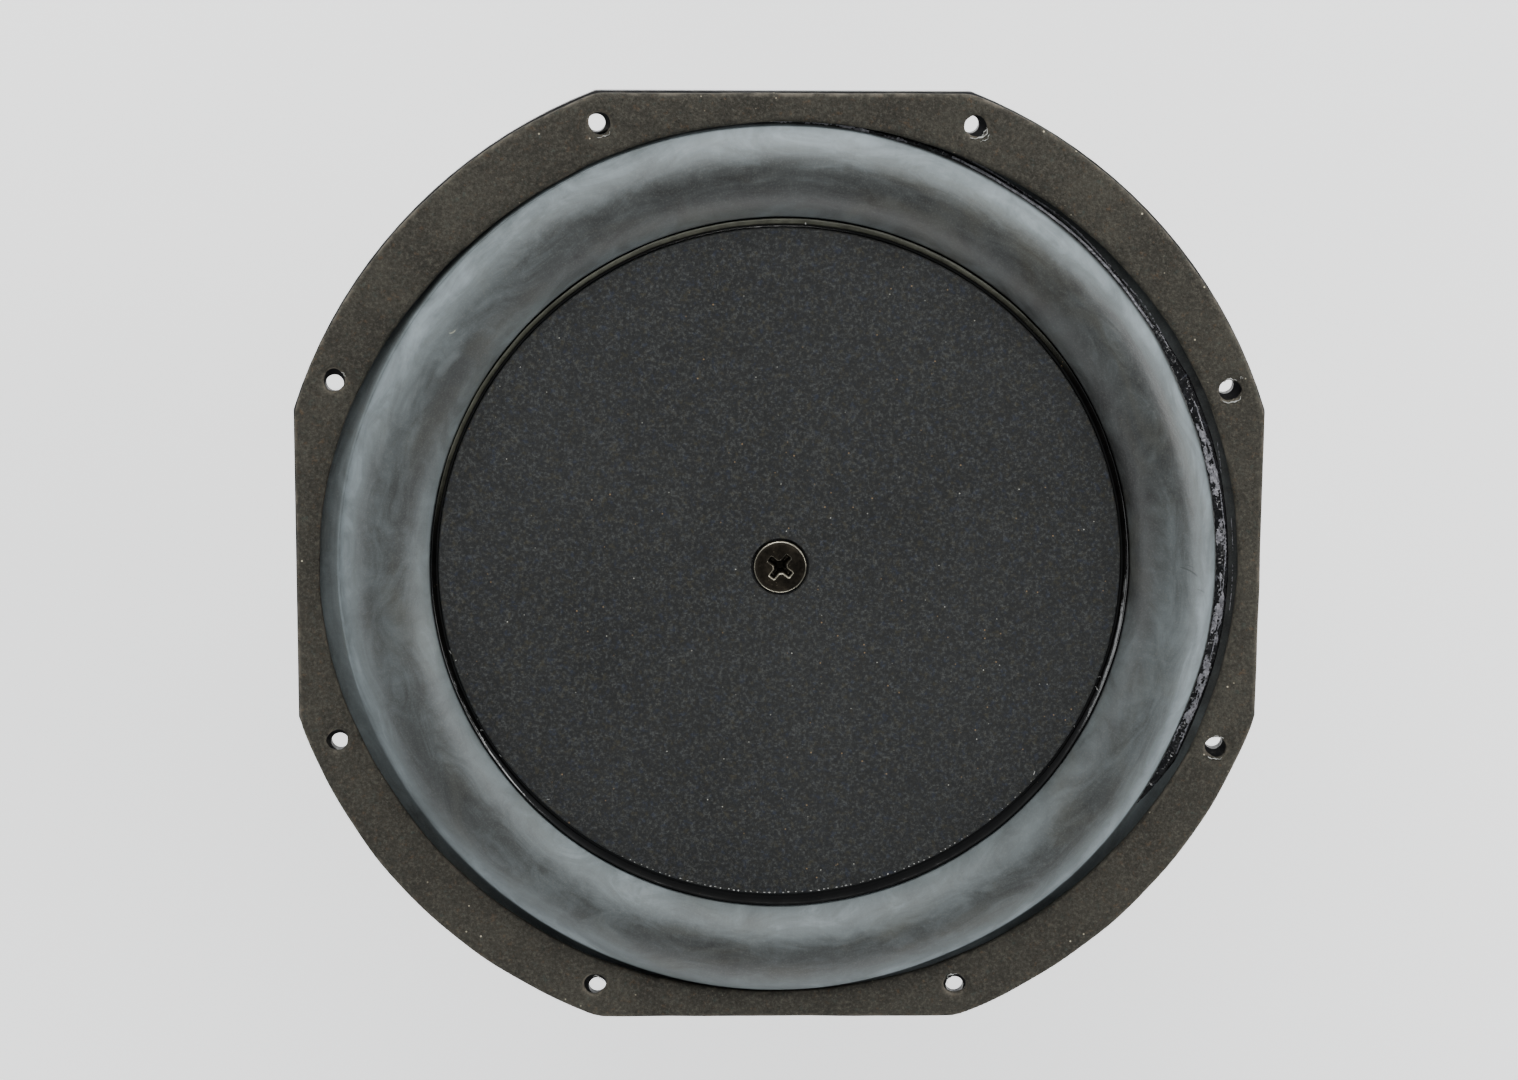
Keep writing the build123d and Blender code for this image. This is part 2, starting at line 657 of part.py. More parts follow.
for name, side in (("pos", 1), ("neg", -1)):
    with BuildPart() as push_button:
        with BuildSketch(Plane.XY.offset(-52.8)):
            with Locations((side * POST_X, POST_Y)):
                Circle(4.8)
        extrude(amount=6.75)
        with BuildSketch(Plane.XY.offset(-46.5)):
            with Locations((side * POST_X, POST_Y)):
                Circle(STEM_R)
        extrude(amount=9.5)
        fillet(push_button.faces().sort_by(Axis.Z)[-1].edges(), radius=0.8)
        # cross hole that lines up with the wire hole when pressed
        with BuildSketch(Plane.XZ.offset(75.0)):
            with Locations((side * POST_X, WIRE_Z + BUTTON_TRAVEL)):
                Circle(1.6)
        extrude(amount=15.0, mode=Mode.SUBTRACT)
        # blind bore under the collar for the spring
        with BuildSketch(Plane.XY.offset(-52.8)):
            with Locations((side * POST_X, POST_Y)):
                Circle(2.4)
        extrude(amount=1.2, mode=Mode.SUBTRACT)
    push_button.part.label = f"push_button_{name}"
    write(push_button.part)

    SPRING_WIRE = 0.6
    z_lo = TB_BOT + SPRING_WIRE / 2 + 0.02
    z_hi = -52.8 - SPRING_WIRE / 2 - 0.02
    coil = Helix(
        pitch=(z_hi - z_lo) / 4.0,
        height=z_hi - z_lo,
        radius=3.4,
        center=(side * POST_X, POST_Y, z_lo),
    )
    with BuildPart() as spring:
        with BuildSketch(Plane(origin=coil @ 0, z_dir=coil % 0)):
            Circle(SPRING_WIRE / 2)
        sweep(path=coil, is_frenet=True)
    spring.part.label = f"terminal_spring_{name}"
    write(spring.part)

    # tinsel lead, from the solder lug up through the window and in to the former
    LEAD_R = 0.8
    run = FilletPolyline(
        (side * (LUG_X - 0.4 - LEAD_R - 0.02), POST_Y, -40.0),
        (side * (LUG_X - 0.4 - LEAD_R - 0.02), POST_Y, -28.8),
        (side * 11.5, -56.0, -34.5),
        (side * 8.7, -26.2, -29.5),
        radius=[6.0, 22.0],
    )
    with BuildPart() as tinsel_lead:
        with BuildSketch(Plane(origin=run @ 0, z_dir=run % 0)):
            Circle(LEAD_R)
        sweep(path=run)
    tinsel_lead.part.label = f"tinsel_lead_{name}"
    write(tinsel_lead.part)

with BuildPart() as lead_pads:
    for angle in (270 - 18.4, 270 + 18.4):
        with BuildSketch(Plane.XY.offset(-33.0)) as pad_shape:
            Circle(26.3)
            Circle(FORMER_IN + FORMER_T + 0.02, mode=Mode.SUBTRACT)
            with PolarLocations(25.6, 1, start_angle=angle):
                Rectangle(6.0, 5.0, mode=Mode.INTERSECT)
        extrude(amount=6.0)
lead_pads.part.label = "lead_pads"
write(lead_pads.part)
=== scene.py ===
import math

import bmesh
import bpy
import numpy as np
from mathutils import Matrix, Vector, noise


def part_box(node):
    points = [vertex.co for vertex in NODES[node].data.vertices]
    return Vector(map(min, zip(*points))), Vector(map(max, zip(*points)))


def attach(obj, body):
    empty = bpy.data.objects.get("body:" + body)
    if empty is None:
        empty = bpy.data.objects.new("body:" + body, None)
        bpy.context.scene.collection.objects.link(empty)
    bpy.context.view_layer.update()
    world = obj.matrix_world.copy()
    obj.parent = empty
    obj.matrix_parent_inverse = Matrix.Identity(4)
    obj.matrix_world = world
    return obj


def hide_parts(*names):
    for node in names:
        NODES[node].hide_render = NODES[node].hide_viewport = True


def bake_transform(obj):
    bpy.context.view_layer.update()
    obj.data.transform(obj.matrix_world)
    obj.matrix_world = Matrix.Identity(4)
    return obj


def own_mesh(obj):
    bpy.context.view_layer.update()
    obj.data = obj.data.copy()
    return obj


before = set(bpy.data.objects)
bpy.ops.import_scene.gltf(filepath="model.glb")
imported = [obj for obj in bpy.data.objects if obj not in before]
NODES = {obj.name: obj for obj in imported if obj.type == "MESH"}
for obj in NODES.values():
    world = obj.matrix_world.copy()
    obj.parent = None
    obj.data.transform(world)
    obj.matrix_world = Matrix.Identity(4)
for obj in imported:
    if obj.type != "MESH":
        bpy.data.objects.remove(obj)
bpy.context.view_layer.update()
MM = 0.001

# ------------------------------------------------------------------ camera
rx, ry, rz = (math.radians(v) for v in (12.17386, 1.76989, -0.02887))
R = Matrix.Rotation(rz, 3, "Z") @ Matrix.Rotation(ry, 3, "Y") @ Matrix.Rotation(rx, 3, "X")
tc = Vector((0.0441515, -0.05573746, -8.48710082)) * 0.121
front_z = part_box("front_gasket")[1].z
cam = bpy.data.objects.new("camera", bpy.data.cameras.new("camera"))
bpy.context.scene.collection.objects.link(cam)
cam.matrix_world = Matrix.Translation(Vector((0, 0, front_z)) - R.transposed() @ tc) @ R.transposed().to_4x4()
cam.data.sensor_width = 36.0
cam.data.lens = 4062.57 / 1518 * 36.0
cam.data.clip_start, cam.data.clip_end = 0.02, 20.0
bpy.context.scene.camera = cam

# ------------------------------------------------------------------ mesh helpers
rng = np.random.default_rng(7)


def obj_from(name, verts, faces, smooth=True, attrs=None):
    me = bpy.data.meshes.new(name)
    me.from_pydata([tuple(map(float, v)) for v in verts], [], [tuple(map(int, f)) for f in faces])
    me.update()
    if smooth:
        me.polygons.foreach_set("use_smooth", [True] * len(me.polygons))
    for key, values in (attrs or {}).items():
        a = me.attributes.new(key, "FLOAT", "POINT")
        a.data.foreach_set("value", np.asarray(values, np.float32))
    ob = bpy.data.objects.new(name, me)
    bpy.context.scene.collection.objects.link(ob)
    return ob


def wave(theta, terms):
    """A smooth closed curve round the circle: sum of amplitude * cos(k theta + phase)."""
    return sum(a * np.cos(k * theta + p) for a, k, p in terms)


def lathe(name, profile, segs, move=None, attrs=None, closed=True, arc=(0.0, 2 * math.pi)):
    """Revolves (r, z) points in metres. move(theta, i, r, z) may return new r and z arrays."""
    p = np.asarray(profile, float)
    whole = abs(arc[1] - arc[0] - 2 * math.pi) < 1e-6
    th = np.linspace(arc[0], arc[1], segs, endpoint=not whole)
    T, I = np.meshgrid(th, np.arange(len(p)), indexing="ij")
    r, z = p[I, 0], p[I, 1]
    if move:
        r, z = move(T, I, r, z)
    verts = np.stack([r * np.cos(T), r * np.sin(T), z], -1).reshape(-1, 3)
    m = len(p)
    faces = []
    last = segs if whole else segs - 1
    k = m if closed else m - 1
    for i in range(last):
        a, b = i * m, ((i + 1) % segs) * m
        for j in range(k):
            j2 = (j + 1) % m
            faces.append((a + j, b + j, b + j2, a + j2))
    if not whole and closed:
        faces.append(tuple(range(m))[::-1])
        faces.append(tuple((segs - 1) * m + j for j in range(m)))
    extra = {key: np.tile(np.asarray(v, float), segs) for key, v in (attrs or {}).items()}
    return obj_from(name, verts, faces, attrs=extra)


def smooth_profile(points, keep_ends, passes):
    q = np.asarray(points, float)
    for _ in range(passes):
        s = q.copy()
        s[1:-1] = 0.5 * q[1:-1] + 0.25 * (q[:-2] + q[2:])
        q = s
    return q


def dense(points, step):
    out = []
    for a, b in zip(points[:-1], points[1:]):
        a, b = np.array(a, float), np.array(b, float)
        n = max(1, int(math.ceil(np.linalg.norm(b - a) / step)))
        out += [tuple(a + (b - a) * i / n) for i in range(n)]
    return out + [tuple(points[-1])]


def drop(name):
    ob = bpy.data.objects.get(name)
    if ob:
        bpy.data.objects.remove(ob)


# ------------------------------------------------------------------ material helpers
class Mat:
    """A Principled material whose constants sit on the shader's own sockets."""

    def __init__(self, name, **sockets):
        self.m = bpy.data.materials.new(name)
        self.m.use_nodes = True
        self.nt = self.m.node_tree
        self.nt.nodes.clear()
        self.out = self.nt.nodes.new("ShaderNodeOutputMaterial")
        self.b = self.nt.nodes.new("ShaderNodeBsdfPrincipled")
        self.nt.links.new(self.b.outputs[0], self.out.inputs[0])
        self.coord = self.nt.nodes.new("ShaderNodeTexCoord").outputs["Object"]
        for k, v in sockets.items():
            self.b.inputs[k.replace("_", " ")].default_value = v

    def put(self, socket, value):
        if isinstance(value, bpy.types.NodeSocket):
            self.nt.links.new(value, socket)
        elif isinstance(value, (tuple, list)) and len(value) == 3 and len(socket.default_value) == 4:
            socket.default_value = (*value, 1.0)
        else:
            socket.default_value = value

    def vec(self, scale=(1, 1, 1), rot=(0, 0, 0), src=None):
        n = self.nt.nodes.new("ShaderNodeMapping")
        n.inputs["Scale"].default_value = scale
        n.inputs["Rotation"].default_value = rot
        self.nt.links.new(src or self.coord, n.inputs["Vector"])
        return n.outputs[0]

    def noise(self, scale, detail=4.0, rough=0.6, distort=0.0, src=None):
        n = self.nt.nodes.new("ShaderNodeTexNoise")
        n.inputs["Scale"].default_value = scale
        n.inputs["Detail"].default_value = detail
        n.inputs["Roughness"].default_value = rough
        n.inputs["Distortion"].default_value = distort
        self.nt.links.new(src or self.coord, n.inputs["Vector"])
        return n.outputs["Fac"]

    def cells(self, scale, feature="F1", src=None, random=1.0, out="Distance"):
        n = self.nt.nodes.new("ShaderNodeTexVoronoi")
        n.feature = feature
        n.inputs["Scale"].default_value = scale
        n.inputs["Randomness"].default_value = random
        self.nt.links.new(src or self.coord, n.inputs["Vector"])
        return n.outputs[out]

    def waves(self, scale, src=None, axis="X", distort=0.0, detail=2.0, kind="BANDS", profile="SIN"):
        n = self.nt.nodes.new("ShaderNodeTexWave")
        n.wave_type = kind
        n.wave_profile = profile
        if kind == "BANDS":
            n.bands_direction = axis
        else:
            n.rings_direction = axis
        n.inputs["Scale"].default_value = scale
        n.inputs["Distortion"].default_value = distort
        n.inputs["Detail"].default_value = detail
        self.nt.links.new(src or self.coord, n.inputs["Vector"])
        return n.outputs["Fac"]

    def attr(self, name):
        n = self.nt.nodes.new("ShaderNodeAttribute")
        n.attribute_name = name
        return n.outputs["Fac"]

    def ramp(self, fac, stops, mode="LINEAR"):
        n = self.nt.nodes.new("ShaderNodeValToRGB")
        n.color_ramp.interpolation = mode
        e = n.color_ramp.elements
        while len(e) > 1:
            e.remove(e[-1])
        for i, (pos, c) in enumerate(stops):
            c = (c, c, c) if isinstance(c, (int, float)) else c
            el = e[0] if i == 0 else e.new(pos)
            el.position = pos
            el.color = (*c, 1.0)
        self.nt.links.new(fac, n.inputs[0])
        return n.outputs[0]

    def span(self, fac, lo, hi, a=0.0, b=1.0):
        n = self.nt.nodes.new("ShaderNodeMapRange")
        n.inputs["From Min"].default_value = lo
        n.inputs["From Max"].default_value = hi
        n.inputs["To Min"].default_value = a
        n.inputs["To Max"].default_value = b
        self.nt.links.new(fac, n.inputs["Value"])
        return n.outputs["Result"]

    def math(self, op, a, b=None, clamp=False):
        n = self.nt.nodes.new("ShaderNodeMath")
        n.operation = op
        n.use_clamp = clamp
        self.put(n.inputs[0], a)
        if b is not None:
            self.put(n.inputs[1], b)
        return n.outputs[0]

    def mix(self, fac, a, b, mode="MIX"):
        n = self.nt.nodes.new("ShaderNodeMix")
        n.data_type = "RGBA"
        n.blend_type = mode
        self.put(n.inputs[0], fac)
        self.put(n.inputs[6], a)
        self.put(n.inputs[7], b)
        return n.outputs[2]

    def bump(self, height, strength=0.3, distance=0.0003, normal=None):
        n = self.nt.nodes.new("ShaderNodeBump")
        n.inputs["Strength"].default_value = strength
        n.inputs["Distance"].default_value = distance
        self.nt.links.new(height, n.inputs["Height"])
        if normal is not None:
            self.nt.links.new(normal, n.inputs["Normal"])
        return n.outputs[0]

    def up(self):
        """How much the surface faces +Z, 0 to 1, for settled dust."""
        g = self.nt.nodes.new("ShaderNodeNewGeometry")
        s = self.nt.nodes.new("ShaderNodeSeparateXYZ")
        self.nt.links.new(g.outputs["Normal"], s.inputs[0])
        return self.span(s.outputs["Z"], 0.2, 1.0)

    def xyz(self):
        s = self.nt.nodes.new("ShaderNodeSeparateXYZ")
        self.nt.links.new(self.coord, s.inputs[0])
        return s.outputs

    def stroke(self, x0, y0, x1, y1, w, bow=0.0):
        """A thin mark from one point to another, in millimetres seen from the front, bowed sideways."""
        x, y, z = self.xyz()
        k = 0.001
        x0, y0, x1, y1, w, bow = x0 * k, y0 * k, x1 * k, y1 * k, w * k, bow * k
        n = math.hypot(x1 - x0, y1 - y0)
        dx, dy = (x1 - x0) / n, (y1 - y0) / n
        u = self.math("ADD", self.math("MULTIPLY", x, dx / n), self.math("MULTIPLY", y, dy / n))
        u = self.math("SUBTRACT", u, (x0 * dx + y0 * dy) / n)
        v = self.math("ADD", self.math("MULTIPLY", x, -dy), self.math("MULTIPLY", y, dx))
        v = self.math("ADD", v, x0 * dy - y0 * dx)
        arch = self.math("MULTIPLY", self.math("MULTIPLY", u, self.math("SUBTRACT", 1.0, u)), 4 * bow)
        d = self.math("ABSOLUTE", self.math("SUBTRACT", v, arch))
        ends = self.math("MULTIPLY", self.span(u, 0.0, 0.15, 0.0, 1.0), self.span(u, 0.8, 1.0, 1.0, 0.0))
        return self.math("MULTIPLY", ends, self.span(d, w * 0.4, w, 1.0, 0.0))

    def polar(self, k=0.1):
        """Seamless coordinates that run round the axis: the unit direction, and the radius. k is not used."""
        x, y, z = self.xyz()
        flat = self.nt.nodes.new("ShaderNodeCombineXYZ")
        self.nt.links.new(x, flat.inputs[0])
        self.nt.links.new(y, flat.inputs[1])
        length = self.nt.nodes.new("ShaderNodeVectorMath")
        length.operation = "LENGTH"
        self.nt.links.new(flat.outputs[0], length.inputs[0])
        unit = self.nt.nodes.new("ShaderNodeVectorMath")
        unit.operation = "NORMALIZE"
        self.nt.links.new(flat.outputs[0], unit.inputs[0])
        return unit.outputs[0], length.outputs["Value"], z

    def color(self, value):
        self.put(self.b.inputs["Base Color"], value)

    def rough(self, value):
        self.put(self.b.inputs["Roughness"], value)

    def normal(self, value):
        self.nt.links.new(value, self.b.inputs["Normal"])


def lin(r, g, b):
    return tuple((c / 255 / 12.92) if c / 255 <= 0.04045 else ((c / 255 + 0.055) / 1.055) ** 2.4 for c in (r, g, b))


def assign(ob, mat):
    ob.data.materials.clear()
    ob.data.materials.append(mat.m if isinstance(mat, Mat) else mat)


def moulded(name, base, light, scale=900.0, rough=(0.45, 0.65), bump=0.25, dust=0.25, dust_col=(0.22, 0.21, 0.19), **kw):
    """Moulded or painted surface: fine grain, cloudy tone, faint dust on what faces up."""
    m = Mat(name, **kw)
    cloud = m.noise(38.0, 5.0, 0.62)
    grain = m.noise(scale, 3.0, 0.6)
    c = m.mix(m.span(cloud, 0.35, 0.7), base, light)
    c = m.mix(m.span(grain, 0.45, 0.75, 0.0, 0.35), c, tuple(min(1, v * 1.6) for v in light))
    dustf = m.math("MULTIPLY", m.up(), m.math("MULTIPLY", m.span(m.noise(160.0, 6.0, 0.7), 0.48, 0.72), dust))
    c = m.mix(dustf, c, dust_col)
    m.color(c)
    m.rough(m.span(m.noise(120.0, 4.0, 0.6), 0.3, 0.7, rough[0], rough[1]))
    m.normal(m.bump(grain, bump, 0.00025))
    return m


# ------------------------------------------------------------------ materials
# soft cellular gasket: charcoal with a brown cast, open pores, settled dust and a worn lighter lip
gasket_mat = Mat("gasket_foam", Specular_IOR_Level=0.22)
g = gasket_mat
pores = g.cells(1150.0)
grainy = g.noise(1250.0, 4.0, 0.75)
fine = g.noise(2600.0, 3.0, 0.7)
mottle = g.noise(70.0, 6.0, 0.68)
warm = g.noise(620.0, 3.0, 0.7, src=g.vec((1, 1, 1), (0.4, 0.9, 0.2)))
c = g.mix(g.span(mottle, 0.34, 0.68), lin(41, 39, 34), lin(55, 53, 47))
c = g.mix(g.span(grainy, 0.50, 0.70, 0.0, 0.6), c, lin(84, 81, 72))
c = g.mix(g.span(grainy, 0.30, 0.46, 0.6, 0.0), c, lin(20, 19, 16))
c = g.mix(g.span(warm, 0.60, 0.70, 0.0, 0.3), c, lin(92, 70, 48))
c = g.mix(g.span(warm, 0.30, 0.40, 0.3, 0.0), c, lin(52, 66, 62))
c = g.mix(g.span(pores, 0.0, 0.2, 0.6, 0.0), c, lin(14, 13, 12))
speck = g.span(g.cells(380.0), 0.05, 0.12, 1.0, 0.0)
pick = g.span(g.noise(150.0, 2.0, 0.5), 0.58, 0.62)
c = g.mix(g.math("MULTIPLY", speck, pick), c, lin(176, 168, 148))
lip = g.attr("lip")
c = g.mix(g.math("MULTIPLY", lip, g.span(g.noise(240.0, 4.0, 0.7), 0.44, 0.62, 0.0, 0.6)), c, lin(104, 98, 88))
g.color(c)
g.rough(g.span(mottle, 0.3, 0.7, 0.82, 0.96))
h = g.mix(0.5, g.span(pores, 0.0, 0.4), grainy)
g.normal(g.bump(h, 0.6, 0.0003, g.bump(mottle, 0.2, 0.0006)))

# surround: rubber under a film of grey bloom, rubbed thinner along the crest and smeared by hands; the bloom attribute
# also carries painted light and shade round the ring
rubber = Mat("surround_rubber", Specular_IOR_Level=0.42)
s = rubber
unit, radius, zz = s.polar()
arcpos = s.attr("arc")
comb = s.nt.nodes.new("ShaderNodeCombineXYZ")
sx = s.nt.nodes.new("ShaderNodeSeparateXYZ")
s.nt.links.new(unit, sx.inputs[0])
for i in (0, 1):
    s.nt.links.new(s.math("MULTIPLY", sx.outputs[i], 0.1), comb.inputs[i])
s.nt.links.new(s.math("MULTIPLY", arcpos, 0.016), comb.inputs[2])
surf = comb.outputs[0]
film = s.noise(24.0, 5.0, 0.62, 0.8, src=s.vec((1, 1, 1.0), src=surf))
smear = s.noise(70.0, 6.0, 0.68, 1.6, src=s.vec((0.8, 0.8, 1.7), (0.1, 0.2, 0.0), src=surf))
rub = s.noise(190.0, 5.0, 0.7, 0.4, src=s.vec((2.4, 2.4, 0.45), src=surf))
fine = s.noise(2200.0, 3.0, 0.65)
bloom_and_painted_light = s.attr("bloom_and_painted_light")
amount = s.math("ADD", bloom_and_painted_light, s.span(film, 0.28, 0.72, -0.13, 0.13))
amount = s.math("ADD", amount, s.span(smear, 0.34, 0.68, -0.09, 0.10))
amount = s.math("ADD", amount, s.span(rub, 0.3, 0.7, -0.025, 0.03), clamp=True)
c = s.ramp(amount, [(0.0, lin(15, 15, 16)), (0.12, lin(32, 33, 33)), (0.3, lin(52, 55, 55)), (0.65, lin(88, 95, 97)), (1.0, lin(132, 142, 147))])
c = s.mix(s.span(fine, 0.5, 0.8, 0.0, 0.16), c, lin(128, 128, 120))
tint = s.noise(34.0, 4.0, 0.6, 0.8, src=s.vec((1, 1, 1.6), (0.2, 0.7, 0.1), src=surf))
c = s.mix(s.span(tint, 0.5, 0.72, 0.0, 0.35), c, s.mix(0.5, c, lin(78, 74, 58)))
scuff = s.math("MULTIPLY", s.span(s.cells(340.0, src=surf), 0.0, 0.045, 1.0, 0.0), s.span(s.noise(90.0, 2.0), 0.55, 0.6))
c = s.mix(s.math("MULTIPLY", scuff, 0.6), c, lin(60, 60, 58))
# one bowed scratch on the right, fainter ones beside it, a pale hair on the upper left, and three wide pale streaks
# along the outer foot on the upper left that are painted highlights
for mark, deep, tone in (
    ((100.3, 1.5, 105.4, -1.5, 0.26, 0.5), 0.62, lin(34, 38, 39)),
    ((101.6, 1.9, 104.0, 1.0, 0.2, 0.3), 0.4, lin(40, 44, 45)),
    ((105.2, -4.6, 107.4, -6.0, 0.2, 0.2), 0.35, lin(46, 50, 52)),
    ((-82.8, 60.6, -81.0, 61.6, 0.22, -0.3), 0.55, lin(150, 150, 132)),
    ((-86.2, 49.6, -79.6, 56.4, 1.3, 0.2), 0.13, lin(124, 132, 134)),
    ((-94.0, 40.5, -88.6, 50.0, 1.1, 0.5), 0.12, lin(126, 134, 136)),
    ((-100.6, 26.0, -98.2, 37.0, 1.0, 0.5), 0.12, lin(122, 130, 132)),
):
    c = s.mix(s.math("MULTIPLY", s.stroke(*mark), deep), c, tone)
s.color(c)
s.rough(s.span(amount, 0.0, 1.0, 0.42, 0.74))
s.normal(s.bump(fine, 0.12, 0.0002, s.bump(smear, 0.15, 0.0006)))

# flat disc: fine textured black with a blue-grey cast, dust and tiny flecks
disc_mat = Mat("disc_face", Specular_IOR_Level=0.3)
d = disc_mat
grain = d.noise(1350.0, 4.0, 0.75)
grit = d.cells(1250.0)
cloud = d.noise(16.0, 4.0, 0.6)
patch = d.noise(48.0, 4.0, 0.6)
hue = d.noise(560.0, 3.0, 0.7, src=d.vec((1, 1, 1), (0.5, 0.3, 0.9)))
c = d.mix(d.span(cloud, 0.35, 0.68), lin(20, 21, 21), lin(28, 29, 29))
c = d.mix(d.span(grain, 0.50, 0.70, 0.0, 0.9), c, lin(65, 67, 66))
c = d.mix(d.span(grain, 0.30, 0.47, 0.75, 0.0), c, lin(10, 10, 12))
c = d.mix(d.span(hue, 0.57, 0.68, 0.0, 0.35), c, lin(34, 42, 60))
c = d.mix(d.span(hue, 0.32, 0.43, 0.35, 0.0), c, lin(56, 52, 36))
fleck = d.span(d.cells(330.0), 0.035, 0.085, 1.0, 0.0)
c = d.mix(d.math("MULTIPLY", fleck, d.span(patch, 0.50, 0.56, 0.0, 0.8)), c, lin(128, 106, 78))
star = d.span(d.cells(330.0, src=d.vec((1, 1, 1), (0.3, 0.2, 0.7))), 0.025, 0.06, 1.0, 0.0)
c = d.mix(d.math("MULTIPLY", star, d.span(d.noise(170.0, 3.0), 0.50, 0.62)), c, lin(188, 188, 180))
d.color(c)
d.rough(d.span(grit, 0.0, 0.5, 0.55, 0.75))
d.normal(d.bump(grain, 0.35, 0.00022))

# glossy black adhesive, lighter and duller where the film attribute is set
glue = Mat("edge_glue", Specular_IOR_Level=0.65)
q = glue
lump = q.noise(220.0, 3.0, 0.5, 0.3)
film = q.math("MULTIPLY", q.attr("film"), q.span(q.noise(130.0, 5.0, 0.7), 0.25, 0.6, 0.55, 1.0))
c = q.mix(q.span(lump, 0.3, 0.7), lin(6, 6, 6), lin(15, 14, 13))
c = q.mix(film, c, q.mix(q.span(q.noise(420.0, 4.0, 0.7), 0.3, 0.7), lin(84, 84, 73), lin(112, 112, 99)))
c = q.mix(q.math("MULTIPLY", q.span(q.cells(620.0), 0.04, 0.09, 1.0, 0.0), q.span(q.noise(130.0, 2.0), 0.54, 0.58, 0.0, 0.8)), c, lin(140, 120, 92))
q.color(c)
q.rough(q.math("ADD", q.span(q.noise(90.0, 3.0), 0.35, 0.7, 0.08, 0.2), q.math("MULTIPLY", film, 0.35)))
q.normal(q.bump(lump, 0.3, 0.0004))

# contact cement: black gloss bed, and the pale skin that tore on top of it, some strips of which are painted highlight
# lines
bed_mat = Mat("cement_bed", Specular_IOR_Level=0.65)
q = bed_mat
lump = q.noise(300.0, 4.0, 0.6, 0.5)
c = q.mix(q.span(lump, 0.35, 0.7), lin(9, 9, 10), lin(26, 26, 28))
c = q.mix(q.span(q.noise(520.0, 4.0, 0.7), 0.60, 0.70, 0.0, 0.6), c, lin(78, 80, 88))
q.color(c)
q.rough(q.span(q.noise(160.0, 3.0), 0.35, 0.7, 0.12, 0.34))
q.normal(q.bump(lump, 0.6, 0.0006))
film_mat = Mat("torn_skin_and_glints", Specular_IOR_Level=0.5)
q = film_mat
fib = q.noise(520.0, 5.0, 0.7, 1.2)
c = q.mix(q.span(fib, 0.3, 0.7), lin(74, 74, 80), lin(150, 149, 155))
c = q.mix(q.span(q.noise(700.0, 4.0, 0.75), 0.54, 0.64, 0.0, 0.9), c, lin(22, 22, 24))
q.color(c)
q.rough(q.span(fib, 0.3, 0.7, 0.32, 0.6))
q.normal(q.bump(fib, 0.7, 0.0005))
tear_mat = Mat("torn_foam", Specular_IOR_Level=0.3)
q = tear_mat
fib = q.noise(900.0, 5.0, 0.7, 0.6)
c = q.mix(q.span(fib, 0.3, 0.7), lin(104, 104, 100), lin(190, 191, 188))
q.color(c)
q.rough(q.span(fib, 0.3, 0.7, 0.6, 0.85))
q.normal(q.bump(fib, 0.6, 0.0003))

# cast basket: black powder coat over aluminium, orange peel, bright nicks on the sharp edges
cast = Mat("powder_coat", Specular_IOR_Level=0.5, Metallic=0.0)
q = cast
peel = q.noise(1100.0, 2.0, 0.5)
tone = q.noise(30.0, 5.0, 0.6)
c = q.mix(q.span(tone, 0.35, 0.7), lin(26, 26, 28), lin(37, 37, 39))
c = q.mix(q.math("MULTIPLY", q.up(), q.span(q.noise(210.0, 6.0, 0.7), 0.5, 0.72, 0.0, 0.45)), c, lin(104, 101, 95))
c = q.mix(q.math("MULTIPLY", q.span(q.cells(260.0), 0.02, 0.045, 1.0, 0.0), q.span(q.noise(70.0, 2.0), 0.6, 0.64)), c, lin(150, 151, 153))
q.color(c)
q.rough(q.span(peel, 0.3, 0.7, 0.38, 0.55))
q.normal(q.bump(peel, 0.4, 0.0003, q.bump(tone, 0.12, 0.001)))

# black painted steel plates with brushed turning marks showing through
steel = Mat("painted_plate", Specular_IOR_Level=0.55)
q = steel
unit, radius, zz = q.polar()
ringv = q.nt.nodes.new("ShaderNodeCombineXYZ")
q.nt.links.new(radius, ringv.inputs[0])
q.nt.links.new(zz, ringv.inputs[1])
turned = q.noise(2400.0, 3.0, 0.7, src=ringv.outputs[0])
tone = q.noise(45.0, 5.0, 0.6)
c = q.mix(q.span(tone, 0.35, 0.7), lin(20, 20, 22), lin(33, 33, 35))
c = q.mix(q.math("MULTIPLY", q.span(q.noise(300.0, 5.0, 0.7), 0.6, 0.72), 0.5), c, lin(86, 80, 74))
q.color(c)
q.rough(q.span(tone, 0.3, 0.7, 0.3, 0.48))
q.normal(q.bump(turned, 0.3, 0.00015))

ferrite = moulded("ferrite", lin(46, 46, 48), lin(66, 66, 67), 700.0, (0.6, 0.8), 0.5, 0.3)
boot = moulded("boot_rubber", lin(19, 19, 20), lin(30, 30, 31), 1300.0, (0.5, 0.72), 0.35, 0.55, (0.17, 0.165, 0.155), Specular_IOR_Level=0.4)
plastic = moulded("terminal_plastic", lin(18, 18, 19), lin(27, 27, 29), 1500.0, (0.38, 0.55), 0.25, 0.25, Specular_IOR_Level=0.5)
coupler_mat = moulded("coupler_resin", lin(24, 24, 25), lin(36, 36, 37), 1200.0, (0.45, 0.6), 0.2, 0.1)
red = moulded("button_red", lin(142, 14, 16), lin(168, 26, 24), 1500.0, (0.2, 0.34), 0.1, 0.12, (0.45, 0.33, 0.30), Specular_IOR_Level=0.55)
black = moulded("button_black", lin(14, 14, 15), lin(22, 22, 23), 1500.0, (0.2, 0.34), 0.1, 0.12, Specular_IOR_Level=0.55)


